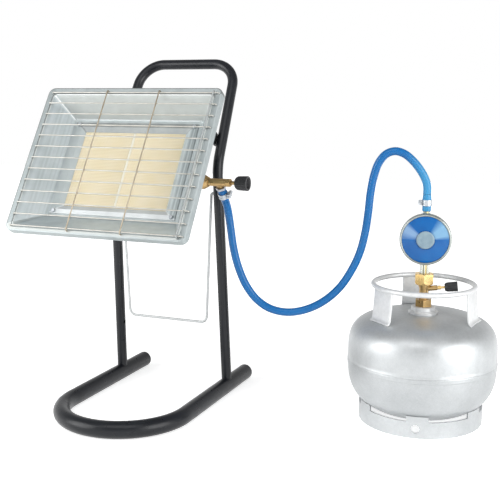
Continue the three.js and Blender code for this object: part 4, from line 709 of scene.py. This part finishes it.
FOOT_SPACING = 207 * MM
FOOT_RADIUS = 13.5 * MM
FRAME_RADIUS = 8.5 * MM
BAIL_RADIUS = 2.25 * MM
KNEE = (97.2 * MM, 244.2 * MM, 391 * MM)
HANDLE_CORNER = (89.5 * MM, 340.5 * MM, 558.6 * MM)
KNEE_BEND, HANDLE_BEND = 70 * MM, 43 * MM
UPRIGHT_BACK = 264 * MM  # of its foot, from the front of the foot tube
CAP_INSERT = 12 * MM
CAP_WALL = 2 * MM  # of the foot tube, round the cap's insert
BAIL_HOLE = SPARE_HOLE = 3.2 * MM
TILT_HOLE = 3.3 * MM
SPARE_HOLE_HEIGHT = 107 * MM
TILT_HOLE_OUT = 94.5 * MM
HOLE_END = 1.5 * MM  # short of the tube's middle line
BAIL_TOP, BAIL_BOTTOM = 85 * MM, 74 * MM  # half widths
BAIL_PIVOT_BEND, BAIL_CORNER_BEND = 5.5 * MM, 11 * MM


def make_foot():
    arm_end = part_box("floor_foot")[1][1]
    half = FOOT_SPACING / 2
    corners = [(x, y, FOOT_RADIUS) for x, y in ((-half, arm_end), (-half, 0), (half, 0), (half, arm_end))]
    line = bent(corners, [half, half], 5 * MM)
    dress(bar("floor_foot_tube", line, FOOT_RADIUS, 48), black_paint, STAND, "floor_foot")
    insert = FOOT_RADIUS - CAP_WALL
    for side, node in ((-1, "foot_cap_left"), (1, "foot_cap_right")):
        place = move(side * half, arm_end, FOOT_RADIUS) @ turn(-math.pi / 2, "X")
        high = extent(node, place)[1].z
        profile = [(0, -CAP_INSERT), (insert, -CAP_INSERT), (insert, FACE_GAP)]
        for a in np.linspace(0, math.pi / 2, 9)[:-1]:
            profile.append((FOOT_RADIUS * math.cos(a), FACE_GAP + (high - FACE_GAP) * math.sin(a)))
        cap = lathe(node + "_dome", [*profile, (0, high)], place, 48)
        dress(cap, black_plastic, STAND, node)


def upright(height, side):
    """The point on an upright's centre line at a height below the knee."""
    share = (height - FOOT_RADIUS) / (KNEE[2] - FOOT_RADIUS)
    x = FOOT_SPACING / 2 + (KNEE[0] - FOOT_SPACING / 2) * share
    y = UPRIGHT_BACK + (KNEE[1] - UPRIGHT_BACK) * share
    return Vector((side * x, y, height))


def make_frame_tube():
    foot_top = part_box("frame_tube")[0][2]
    right = [upright(foot_top, 1), Vector(KNEE), Vector(HANDLE_CORNER)]
    left = [Vector((-p.x, p.y, p.z)) for p in right]
    line = bent([*left, *reversed(right)], [KNEE_BEND, HANDLE_BEND, HANDLE_BEND, KNEE_BEND], 4 * MM)
    tube = bar("frame_tube_round", line, FRAME_RADIUS, 32)
    cutters = []
    bail_place, tilt_place = joint_place("bail_swing"), joint_place("head_tilt")
    for side in (-1, 1):
        for radius, point in (
            (BAIL_HOLE, Vector((side * upright(bail_place.z, 1).x, bail_place.y, bail_place.z))),
            (SPARE_HOLE, upright(SPARE_HOLE_HEIGHT, side)),
            (TILT_HOLE, Vector((side * TILT_HOLE_OUT, tilt_place.y, tilt_place.z))),
        ):
            outward = Vector((side, 0, 0))
            start, end = point - outward * FRAME_RADIUS * 1.6, point - outward * HOLE_END
            cutters.append(bar("cutter", [start, end], radius, 20))
    dress(carve(tube, *cutters), black_paint, STAND, "frame_tube")


def make_bail():
    low, high = (Vector(c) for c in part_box("wire_bail"))
    pivot = joint_place("bail_swing")
    right = [(high.x, pivot.z), (BAIL_TOP, pivot.z), (BAIL_BOTTOM, low.z + BAIL_RADIUS)]
    corners = [(-x, pivot.y, z) for x, z in right] + [(x, pivot.y, z) for x, z in reversed(right)]
    bends = [BAIL_PIVOT_BEND, BAIL_CORNER_BEND, BAIL_CORNER_BEND, BAIL_PIVOT_BEND]
    bail = bar("wire_bail_round", bent(corners, bends, 1.5 * MM), BAIL_RADIUS, 20, 0.8 * MM)
    dress(bail, grey_wire, BAIL, "wire_bail")


make_foot()
make_frame_tube()
make_bail()

# ---- burner head

TOP, LEFT, BOTTOM, RIGHT = range(4)
# The strips of a sheet: a flat hidden one, a bend with a painted highlight, the dish's wall, the tile frame,
# the rim's outer bend, the lip with a painted highlight, the dish's base and the rim's face.
FLAT, BEND, DISH, FRAME, OUTER, LIP, BASE, FACE = range(8)
# A sheet's levels, in millimetres: half width, half height, middle's height, depth, corner radius, and the
# strip that ends there.
REFLECTOR = [
    (154, 126, -2.6, -12, 11, FLAT),
    (154, 126, -2.6, -1.6, 11, OUTER),
    (153.6, 125.6, -2.6, -0.5, 10.6, OUTER),
    (152.6, 124.6, -2.6, 0, 9.6, OUTER),
    (151.8, 123.8, -2.6, 0, 8.8, OUTER),
    (145, 118.5, -4.1, 0, 7.5, FACE),
    (144.2, 117.7, -4.1, -0.9, 7, OUTER),
    (143, 116.5, -4.1, -0.9, 6.5, OUTER),
    (142.4, 115.9, -4.1, 0.1, 6.2, LIP),
    (141.7, 115.2, -4.1, 0.4, 5.8, LIP),
    (141, 114.5, -4.1, -0.2, 5, LIP),
    (116.3, 87.3, 0, -35.2, 3, DISH),
    (115.5, 86.5, 0, -36.5, 2.6, BEND),
    (114.4, 85.4, 0, -37, 2.2, FLAT),
    (98.4, 74.2, 0, -37, 5, BASE),
    (98.4, 74.2, 0, -38, 5, FLAT),
    (115.5, 86.5, 0, -38, 5, FLAT),
    (142, 115.5, -4.1, -1, 6, FLAT),
    (153, 125, -2.6, -1, 10, FLAT),
    (153, 125, -2.6, -12, 10, FLAT),
]
TILE_FRAME = [
    (110, 81, 0, -36.7, 2, FLAT),
    (110, 81, 0, -36, 2, FRAME),
    (109.6, 80.6, 0, -35.7, 1.8, FRAME),
    (97.6, 73.4, 0, -35.7, 2.4, FRAME),
    (96.6, 72.5, 0, -36.1, 2, FRAME),
    (90.2, 66, 0, -39.7, 1.4, FRAME),
    (89.6, 65.4, 0, -40, 1, FRAME),
    (90.4, 66.2, 0, -40, 1.4, FLAT),
    (98, 73.8, 0, -36.7, 3, FLAT),
]
CORNER_STEPS = 6


def rounded_loop(half_width, half_height, middle, radius):
    loop = []
    for quarter, (right, up) in enumerate(((1, 1), (-1, 1), (-1, -1), (1, -1))):
        for i in range(CORNER_STEPS + 1):
            angle = math.pi / 2 * (quarter + i / CORNER_STEPS)
            x = right * (half_width - radius) + radius * math.cos(angle)
            y = up * (half_height - radius) + radius * math.sin(angle)
            loop.append((x, y + middle))
    return loop


def strip_finish(kind, side, step):
    """The finish of one face of a strip, whose sides and corners may differ from one another in painted
    highlight, painted shade and painted light.
    """
    corner = step < CORNER_STEPS
    upper_left = side == LEFT and step in (2, 3)
    if kind == DISH:
        if corner:
            return PAINTED_HIGHLIGHT if upper_left else UPPER_WALL_PAINTED_LIGHT if side == TOP else WALL
        return {TOP: UPPER_WALL_PAINTED_LIGHT, BOTTOM: LOWER_WALL_PAINTED_LIGHT, LEFT: LEFT_WALL_PAINTED_LIGHT}.get(side, WALL)
    if kind == BEND:
        return PAINTED_HIGHLIGHT if side == TOP and not corner or upper_left else PLAIN
    if kind == LIP:
        return PAINTED_HIGHLIGHT if side == TOP and not corner else UPPER_WALL_PAINTED_LIGHT
    if kind == OUTER:
        return SHADED if side in (TOP, LEFT) else PLAIN
    if kind == FRAME:
        if side == BOTTOM or (corner and side == RIGHT):
            return FLANGE_PAINTED_LIGHT
        return SHADED if side == TOP or corner else WALL if side == RIGHT else PLAIN
    if kind == BASE and not corner:
        return {LEFT: LEFT_WALL_PAINTED_LIGHT, RIGHT: WALL}.get(side, PLAIN)
    if kind == FACE:
        return {LEFT: RIM_SIDE_PAINTED_SHADE, RIGHT: RIM_SIDE_PAINTED_SHADE, BOTTOM: UPPER_WALL_PAINTED_LIGHT}.get(side, PLAIN)
    return PLAIN


def pressed(name, levels):
    """Sheet pressed through the levels, laid out so that its finish can follow the marks of the press."""
    vertices = []
    for half_width, half_height, middle, depth, radius, _ in levels:
        loop = rounded_loop(half_width, half_height, middle, radius)
        vertices += [(x * MM, y * MM, depth * MM) for x, y in loop]
    count = 4 * (CORNER_STEPS + 1)
    mesh = bpy.data.meshes.new(name)
    mesh.from_pydata(vertices, [], grid(len(levels), count, True, True))
    layer = mesh.uv_layers.new(name="sheet")
    across = 0.0
    for i, level in enumerate(levels):
        following = levels[(i + 1) % len(levels)]
        further = across + math.hypot(following[0] - level[0], following[3] - level[3]) * MM
        for k in range(count):
            side, step = divmod(k, CORNER_STEPS + 1)
            marked = 1.0 if step == CORNER_STEPS and side in (LEFT, RIGHT) else 0.0
            polygon = mesh.polygons[i * count + k]
            # Each face takes the painted highlight, shade or light of its side.
            polygon.material_index = strip_finish(following[5], side, step)
            for loop_index, along in zip(polygon.loop_indices, (across, across, further, further)):
                layer.data[loop_index].uv = (marked, along)
        across = further
    for material in sheets:
        mesh.materials.append(material)
    mesh.shade_smooth()
    return add_object(name, mesh, head_place, 22)


dress(pressed("reflector_pressed", REFLECTOR), None, HEAD, "reflector")
dress(pressed("tile_frame_pressed", TILE_FRAME), None, HEAD, "tile_frame")

JOINT = 2.1 * MM  # half of the strip of fibre that shows between the tiles
JOINT_UNDER = 0.2 * MM  # from the tiles' edges to the strip between them


def make_gasket():
    """The strips of fibre round the tiles and between them."""
    low, high = extent("tile_gasket", head_place)
    tile_low, tile_high = extent("ceramic_tile_left", head_place)
    left, bottom, top = tile_low.x - FACE_GAP, tile_low.y - FACE_GAP, tile_high.y + FACE_GAP
    right = extent("ceramic_tile_right", head_place)[1].x + FACE_GAP
    strips = [
        (low.x, low.y, left, high.y),
        (right, low.y, high.x, high.y),
        (left, low.y, right, bottom),
        (left, top, right, high.y),
        (JOINT_UNDER - JOINT, bottom, JOINT - JOINT_UNDER, top),
    ]
    made = [block("strip", (x0, y0, low.z), (x1, y1, high.z - FACE_GAP), head_place, 0.3 * MM)
            for x0, y0, x1, y1 in strips]
    dress(joined("tile_gasket_strips", *made), fibre, HEAD, "tile_gasket")


def make_tile(node):
    """A ceramic tile with its face laid out for the rows of flame holes."""
    low, high = extent(node, head_place)
    if node.endswith("left"):
        high.x = -JOINT
    else:
        low.x = JOINT
    tile = block(node + "_pierced", low, high, None, 0.5 * MM)
    lay_out(tile, low)
    tile.data.transform(head_place)
    dress(tile, ceramic, HEAD, node)


make_gasket()
make_tile("ceramic_tile_left")
make_tile("ceramic_tile_right")

GUARD_RADIUS = 1 * MM
GUARD_ROWS = 13
GUARD_UPRIGHTS = (-41.2 * MM, 50.2 * MM, 141.5 * MM)
GUARD_STANDOFF = 3 * MM
GUARD_BEND = 2 * MM
GUARD_OVERHANG = 3 * MM
GUARD_FRONT = GUARD_STANDOFF + 1.7 * GUARD_RADIUS


def make_guard():
    low, high = extent("wire_guard", head_place)
    left, right = low.x + GUARD_RADIUS, high.x - GUARD_RADIUS
    bottom, top = low.y + GUARD_RADIUS, high.y - GUARD_RADIUS

    def wire(name, corners):
        line = bent(corners, [GUARD_BEND] * 2, 0.6 * MM)
        return bar(name, line, GUARD_RADIUS, 12, 0, head_place)

    rows, uprights = [], []
    for y in np.linspace(bottom + GUARD_OVERHANG, top - GUARD_OVERHANG, GUARD_ROWS):
        ends = ((left, FACE_GAP), (left, GUARD_STANDOFF), (right, GUARD_STANDOFF), (right, FACE_GAP))
        rows.append(wire("row", [(x, y, z) for x, z in ends]))
        rows[-1].data.materials.append(bright_wire)
    for x in GUARD_UPRIGHTS:
        ends = ((bottom, low.z), (bottom, GUARD_FRONT), (top, GUARD_FRONT), (top, low.z))
        uprights.append(wire("upright", [(x, y, z) for y, z in ends]))
    right_upright = uprights.pop()
    right_upright.data.materials.append(dull_wire)
    dress(joined("guard_rows", *rows, right_upright), None, HEAD, "wire_guard")
    dress(joined("guard_uprights", *uprights), bronze_wire, HEAD)


make_guard()

# ---- heater valve

KNOB_GROOVE = 0.7 * MM
POINTS_PER_RIB = 6
AIR_HOLES = 4
AIR_HOLE_RADIUS = 3.5 * MM
# A knob's rings: share of its radius, share of its length and share of the grooves' depth.
KNOB_RINGS = [
    (0.30, 0.0, 0), (0.66, 0.0, 0), (0.72, 0.02, 0), (0.88, 0.13, 0.3), (0.93, 0.2, 0.8), (0.95, 0.3, 1),
    (0.99, 0.92, 1), (1.0, 0.955, 0.5), (0.97, 0.99, 0), (0.93, 1.0, 0), (0.76, 1.0, 0), (0.72, 0.98, 0),
    (0.7, 0.84, 0), (0.66, 0.8, 0), (0.3, 0.78, 0), (0.02, 0.78, 0),
]


def make_knob(node, place, ribs):
    """A moulded knob with rounded ribs, a chamfered collar and a dished end."""
    low, high = extent(node, place)
    sides = ribs * POINTS_PER_RIB
    vertices = []
    for share, along, ribbed in KNOB_RINGS:
        for k in range(sides):
            angle = 2 * math.pi * k / sides
            wave = (1 - math.cos(ribs * angle)) / 2
            r = share * high.y - ribbed * KNOB_GROOVE * wave**2
            vertices.append((r * math.cos(angle), r * math.sin(angle), low.z + along * (high.z - low.z)))
    name = node + "_ribbed"
    mesh = mesh_of(name, vertices, capped(len(KNOB_RINGS), sides))
    dress(add_object(name, mesh, place, 50), black_plastic, node, node)


def make_air_shroud():
    """The brass cup between the burner box and the valve, with its ring of air holes."""
    low, high = extent_mm("air_shroud", valve_place)
    radius, start, end = high.y, low.z, high.z
    cone = end - 8
    socket = 6.4
    outer = [(radius - 1.2, start), (radius, start), (radius, start + 1), (radius - 0.5, start + 1.6),
             (radius - 0.5, cone), (socket + 1.6, end - 1.5), (socket + 1.2, end), (socket, end)]
    inner = [(socket, end - 5), (radius - 1.7, cone - 1)]
    profile = rounded(metres([*outer, *inner]), 0.4 * MM)
    shroud = lathe("air_shroud_turned", profile, valve_place, 48, ring=True)
    cutters = []
    for i in range(AIR_HOLES):
        away = turn((i + 0.5) * 2 * math.pi / AIR_HOLES, "Z") @ move(0, 0, (start + cone) / 2 * MM) @ TO_X
        line = [(0, 0, 5 * MM), (0, 0, 20 * MM)]
        cutters.append(bar("cutter", line, AIR_HOLE_RADIUS, 24, 0, valve_place @ away))
    dress(carve(shroud, *cutters), brass, HEAD, "air_shroud")


make_knob("heater_knob", valve_place, 18)
make_air_shroud()

# ---- hose ends and clamps

HOSE_NARROWS = 0.72  # along a hose end, where it begins to narrow
CLAMP_INNER, CLAMP_OUTER = 7.25, 8.05  # radii of the band, in millimetres
CLAMP_HEAD = 3  # height of the screw's head, in millimetres
CLAMP_SLOTS = 26
SLOT_START, SLOT_STEP, SLOT_LEAN = 40, 10.6, 12  # degrees


def make_hose_end(end, place, body):
    """Hose swollen over a barb, narrowing to its own size where the free hose begins."""
    node = "hose_end_" + end
    low, high = extent(node, place)
    swollen, plain = high.x, HOSE_DIAMETER / 2
    length = high.z - low.z
    profile = [(4.6 * MM, low.z), (swollen - 0.5 * MM, low.z), (swollen, low.z + 0.6 * MM)]
    for t in np.linspace(0, 1, 10):
        ease = t * t * (3 - 2 * t)
        narrowing = HOSE_NARROWS + (1 - HOSE_NARROWS) * t
        profile.append((swollen + (plain - swollen) * ease, low.z + length * narrowing))
    piece = lathe(node + "_swollen", [*profile, (4.4 * MM, high.z)], place, 40, ring=True)
    dress(piece, blue_hose, body, node)


def make_clamp(end, place, body, side):
    """A worm-drive hose clamp: slotted band, pressed housing and a screw across it."""
    band_node, screw_node = "hose_clamp_" + end, "clamp_screw_" + end
    low, high = extent_mm(band_node, place)
    middle = (low.z + high.z) / 2
    profile = [(CLAMP_INNER, low.z), (CLAMP_OUTER, low.z), (CLAMP_OUTER, high.z), (CLAMP_INNER, high.z)]
    band = lathe("band", metres(profile), place, 56, ring=True)
    slots = []
    for i in range(CLAMP_SLOTS):
        around = turn(math.radians(SLOT_START + i * SLOT_STEP), "Z")
        spot = place @ around @ move(0, 0, middle * MM) @ turn(math.radians(SLOT_LEAN), "X")
        corners = (CLAMP_OUTER - 0.25, -0.4, -2.6), (CLAMP_OUTER + 0.3, 0.4, 2.6)
        slots.append(block("slot", *corners, spot, unit=MM))
    inside, outside = CLAMP_INNER * 0.6 + CLAMP_OUTER * 0.4, max(abs(low.x), abs(high.x))
    corners = (side * inside, -4.5, low.z + 0.3), (side * outside, 4.5, high.z - 0.3)
    housing = block("housing", *corners, place, 1.3 * MM, MM)
    dress(joined(band_node + "_worm", carve(band, *slots), housing), zinc, body, band_node)
    low, high = extent_mm(screw_node, place)
    facing = 1 if abs(high.y) > abs(low.y) else -1
    tip, front = sorted((abs(low.y), abs(high.y)))
    seat = front - CLAMP_HEAD
    axis = place @ move((low.x + high.x) / 2 * MM, 0, middle * MM) @ turn(-facing * math.pi / 2, "X")
    profile = metres([(0, -tip), (1.5, -tip), (2, 1 - tip), (2, seat), (0, seat)])
    shank = lathe("shank", profile, axis, 24)
    profile = rounded(metres([(0, seat), (3.4, seat), (3.4, front), (0, front)]), 0.4 * MM)
    head = lathe("head", profile, axis, 6, sharp=20)
    slot = block("slot", (-4, -0.5, front - 1.4), (4, 0.5, front + 1), axis, unit=MM)
    dress(joined(screw_node + "_slotted", shank, carve(head, slot)), zinc, body, screw_node)


for place_of_end in (("heater", tail_place, HEAD), ("regulator", cylinder_place, STAND)):
    make_hose_end(*place_of_end)
    make_clamp(*place_of_end, 1 if place_of_end[2] == HEAD else -1)

# ---- gas cylinder

SHELL_RADIUS = 116 * MM
SEAM = 98 * MM
SHOULDER = 105 * MM
SHELL_BOTTOM = 11 * MM
CROWN = 171 * MM
LOWER_FULLNESS, UPPER_FULLNESS = 2.8, 3.6
NECK_BORE = 15 * MM
# Beside the seam, in millimetres: the weld's band (outwards, down) and the joggled edge (outwards, up).
WELD_BAND = [(0, 7.4), (0.55, 7.1), (0.8, 6.4), (0.65, 5.2), (0.75, 3.6), (0.6, 2.2), (0.75, 1.2), (0.6, 0.5),
             (0.4, 0.05)]
JOGGLE = [(0.35, 0.05), (0.45, 0.6), (0.3, 2.4), (0, 3.2)]
# The neck boss, in millimetres: radius and height above the shell's crown.
NECK_BOSS = [(9.8, -6), (23, -4), (23, 2.6), (22.4, 3.4), (21.4, 3.5), (21.4, 4.6), (20.6, 5), (18.5, 5),
             (18.5, 9.6), (17.4, 11), (9.8, 11)]


def rounded_end(rise, fullness):
    """A dished end's outline from its rim to its pole, as (radius, rise)."""
    outline = []
    for a in np.linspace(0, math.pi / 2, 26):
        radius = SHELL_RADIUS * max(math.cos(a), 0) ** (2 / fullness)
        outline.append((radius, rise * math.sin(a) ** (2 / fullness)))
    return outline


def make_shells():
    lower = [(r, SEAM - z) for r, z in rounded_end(SEAM - SHELL_BOTTOM, LOWER_FULLNESS)]
    lower[-1] = (0, lower[-1][1])
    bead = [(SHELL_RADIUS + out * MM, SEAM - down * MM) for out, down in WELD_BAND]
    below = [p for p in lower if p[1] < bead[0][1]]
    profile = [*reversed(below), *bead, (SHELL_RADIUS - 1.2 * MM, SEAM), (0, SEAM)]
    shell = lathe("cylinder_lower_dished", profile, cylinder_place, 128)
    dress(shell, shaded_silver_paint, STAND, "cylinder_lower_shell")
    start = SEAM + 0.02 * MM
    edge = [(SHELL_RADIUS + out * MM, start + up * MM) for out, up in JOGGLE]
    upper = [(r, SHOULDER + z) for r, z in rounded_end(CROWN - SHOULDER, UPPER_FULLNESS) if r > NECK_BORE]
    profile = [(NECK_BORE, start), *edge, *upper, (NECK_BORE, CROWN)]
    shell = lathe("cylinder_upper_dished", profile, cylinder_place, 128, ring=True)
    dress(shell, silver_paint, STAND, "cylinder_upper_shell")


def make_handle_ring():
    low, high = extent("handle_ring", cylinder_place)
    rod = (high.z - low.z) / 2
    radius, height = high.x - rod, (low.z + high.z) / 2
    angles = np.linspace(0, 2 * math.pi, 25)[:-1]
    profile = [(radius + rod * math.cos(a), height + rod * math.sin(a)) for a in angles]
    ring = lathe("handle_ring_round", profile, cylinder_place, 128, ring=True)
    dress(ring, strap_paint, STAND, "handle_ring")


def shell_height(radius):
    share = (radius / SHELL_RADIUS) ** UPPER_FULLNESS
    return SHOULDER + (CROWN - SHOULDER) * (1 - share) ** (1 / UPPER_FULLNESS)


STRAP_START = math.radians(99.5)
STRAP_HALF_WIDTH = 22 * MM
STRAP_MIDDLE = 76.9 * MM  # of its top, from the cylinder's axis
STRAP_TOP = 213 * MM
STRAP_THICKNESS = 3 * MM
# Down a strap: its way outwards and its height above the shell, in millimetres.
STRAP_FOOT = [(1.6, 24), (2.6, 14), (3.1, 8), (3.7, 5), (4.8, 2.9), (6.6, 1.9), (9.0, 1.7)]


def make_strap(node, angle):
    """A sheet strap whose foot turns outwards and follows the shell."""
    vertices = []
    columns = np.linspace(-STRAP_HALF_WIDTH, STRAP_HALF_WIDTH, 9)
    for y in columns:
        vertices.append((STRAP_MIDDLE, y, STRAP_TOP))
        for out, above in STRAP_FOOT:
            x = STRAP_MIDDLE + out * MM
            vertices.append((x, y, shell_height(math.hypot(x, y)) + above * MM))
    mesh = mesh_of(node, vertices, grid(len(columns), len(STRAP_FOOT) + 1))
    strap = add_object(node + "_bent", mesh, cylinder_place @ turn(angle, "Z"), 60)
    thicken = strap.modifiers.new("thickness", "SOLIDIFY")
    thicken.thickness = STRAP_THICKNESS
    thicken.offset = 0
    round_edges(strap, 0.6 * MM, 50)
    dress(strap, strap_paint, STAND, node)


def make_neck_boss():
    profile = rounded([(r * MM, CROWN + z * MM) for r, z in NECK_BOSS], 0.5 * MM)
    boss = lathe("neck_boss_turned", profile, cylinder_place, 96, ring=True)
    dress(boss, strap_paint, STAND, "neck_boss")


make_shells()
make_handle_ring()
for index in range(3):
    make_strap(f"handle_strap_{index + 1}", STRAP_START + index * math.radians(120))
make_neck_boss()
make_knob("cylinder_knob", branch_place, 16)

# ---- regulator


def make_regulator():
    """The rolled rim, the coned face and the cap, whose radii and levels come from the CAD."""
    low, high = extent_mm("regulator_rim", regulator_place)
    radius, back, front = high.x - 1.2, low.z, high.z
    low, high = extent_mm("regulator_face", regulator_place)
    face, seat, top = high.x, low.z, high.z
    low, high = extent_mm("regulator_cap", regulator_place)
    cap, base, end = high.x, low.z, high.z
    rim = [(radius - 1.5, back), (radius, back), (radius, front - 3), (radius - 0.6, front - 1),
           (radius - 1.8, front), (face + 0.3, front - 0.4), (face + 0.3, front - 2.4),
           (face - 3, front - 2.4), (face - 3, 1.3), (radius - 1.5, 1.3)]
    cone = [(0, seat), (face, seat), (face, seat + 0.8), (cap * 1.06, top), (cap * 1.05, top - 0.5),
            (cap * 1.01, top - 0.5), (cap, top), (0, top)]
    disc = [(0, base), (cap, base), (cap, end - 1), (cap * 0.9, end), (cap * 0.62, end),
            (cap * 0.58, end - 0.35), (0, end - 0.35)]
    piece = lathe("regulator_rim_turned", rounded(metres(rim), 0.5 * MM), regulator_place, 96, ring=True)
    dress(piece, chrome, STAND, "regulator_rim")
    piece = lathe("regulator_face_coned", rounded(metres(cone), 0.3 * MM), None, 96)
    lay_out(piece, (0, 0))
    piece.data.transform(regulator_place)
    dress(piece, blue_enamel, STAND, "regulator_face")
    piece = lathe("regulator_cap_turned", rounded(metres(disc), 0.4 * MM), regulator_place, 64)
    dress(piece, grey_plastic, STAND, "regulator_cap")


make_regulator()

# ---- floor, light and backdrop

FLOOR_SIZE = 8.0
FLOOR_DROP = -0.0002
FLOOR_COLOUR = (0.9, 0.9, 0.9, 1)
FLOOR_MIDDLE = (0.2, 0.15, 0)
FLOOR_NEAR, FLOOR_FAR = 0.4, 1.0  # distances from its middle, between which its own brightness rises
FLOOR_LIFT = 0.68  # its own brightness near its middle, against 1 far away
WHITE = (1, 1, 1, 1)
AMBIENT = 0.5
CEILING = 0.42  # brightness of the room straight above, against the white around the floor
CEILING_START, CEILING_END = 0.12, 0.6  # heights of a direction, between which the room turns darker
LIT_POINT = (0.2, 0.15, 0.25)
# Name, place, width, height and watts.
SOFTBOXES = [
    ("key", (-1.5, -1.25, 1.0), 1.5, 1.6, 34),
    ("fill", (2.15, -0.4, 0.8), 1.4, 1.6, 29),
    ("top", (0.3, -0.9, 1.7), 1.4, 1.0, 8),
]


def seen_directly(nodes):
    """1 for rays that see the surface directly or in a mirror or glass, otherwise 0."""
    path = nodes.add("LightPath").outputs
    seen = nodes.maths("MAXIMUM", path["Is Camera Ray"], path["Is Glossy Ray"])
    return nodes.maths("MAXIMUM", seen, path["Is Transmission Ray"])


def make_floor():
    """A white floor, brightened least around the object, where the shadows lie."""
    half = FLOOR_SIZE / 2
    corners = [(-half, -half, 0), (half, -half, 0), (half, half, 0), (-half, half, 0)]
    floor = add_object("floor", mesh_of("floor", corners, [(0, 1, 2, 3)]))
    floor.location.z = FLOOR_DROP
    nodes = Nodes("white floor")
    away = nodes.measure("DISTANCE", nodes.place, FLOOR_MIDDLE)
    lift = nodes.spread(away, FLOOR_LIFT, 1.0, FLOOR_NEAR, FLOOR_FAR)
    nodes.set(Base_Color=FLOOR_COLOUR, Roughness=0.9, Specular_IOR_Level=0.1, Emission_Color=WHITE,
              Emission_Strength=nodes.maths("MULTIPLY", seen_directly(nodes), lift))
    floor.data.materials.append(nodes.material)


def make_world():
    """A white room, seen as white, that lights the object less and least from above."""
    world = bpy.data.worlds.new("studio")
    bpy.context.scene.world = world
    world.use_nodes = True
    nodes = Tree(world.node_tree)
    strength = nodes.spread(seen_directly(nodes), AMBIENT, 1.0)
    height = nodes.split(nodes.add("TexCoord").outputs["Generated"])[2]
    ceiling = nodes.spread(height, 1.0, CEILING, CEILING_START, CEILING_END)
    seen = nodes.add("LightPath").outputs["Is Camera Ray"]
    background = nodes.tree.nodes["Background"]
    nodes.feed(background.inputs["Color"], WHITE)
    brightness = nodes.maths("MULTIPLY", strength, nodes.maths("MAXIMUM", ceiling, seen))
    nodes.feed(background.inputs["Strength"], brightness)


def make_softbox(name, place, width, height, watts):
    data = bpy.data.lights.new(name, "AREA")
    data.shape = "RECTANGLE"
    data.size = width
    data.size_y = height
    data.energy = watts
    light = bpy.data.objects.new(name, data)
    light.location = place
    light.rotation_euler = (Vector(LIT_POINT) - Vector(place)).to_track_quat("-Z", "Y").to_euler()
    bpy.context.scene.collection.objects.link(light)


make_floor()
make_world()
for softbox in SOFTBOXES:
    make_softbox(*softbox)

bpy.context.scene.view_settings.view_transform = "Standard"
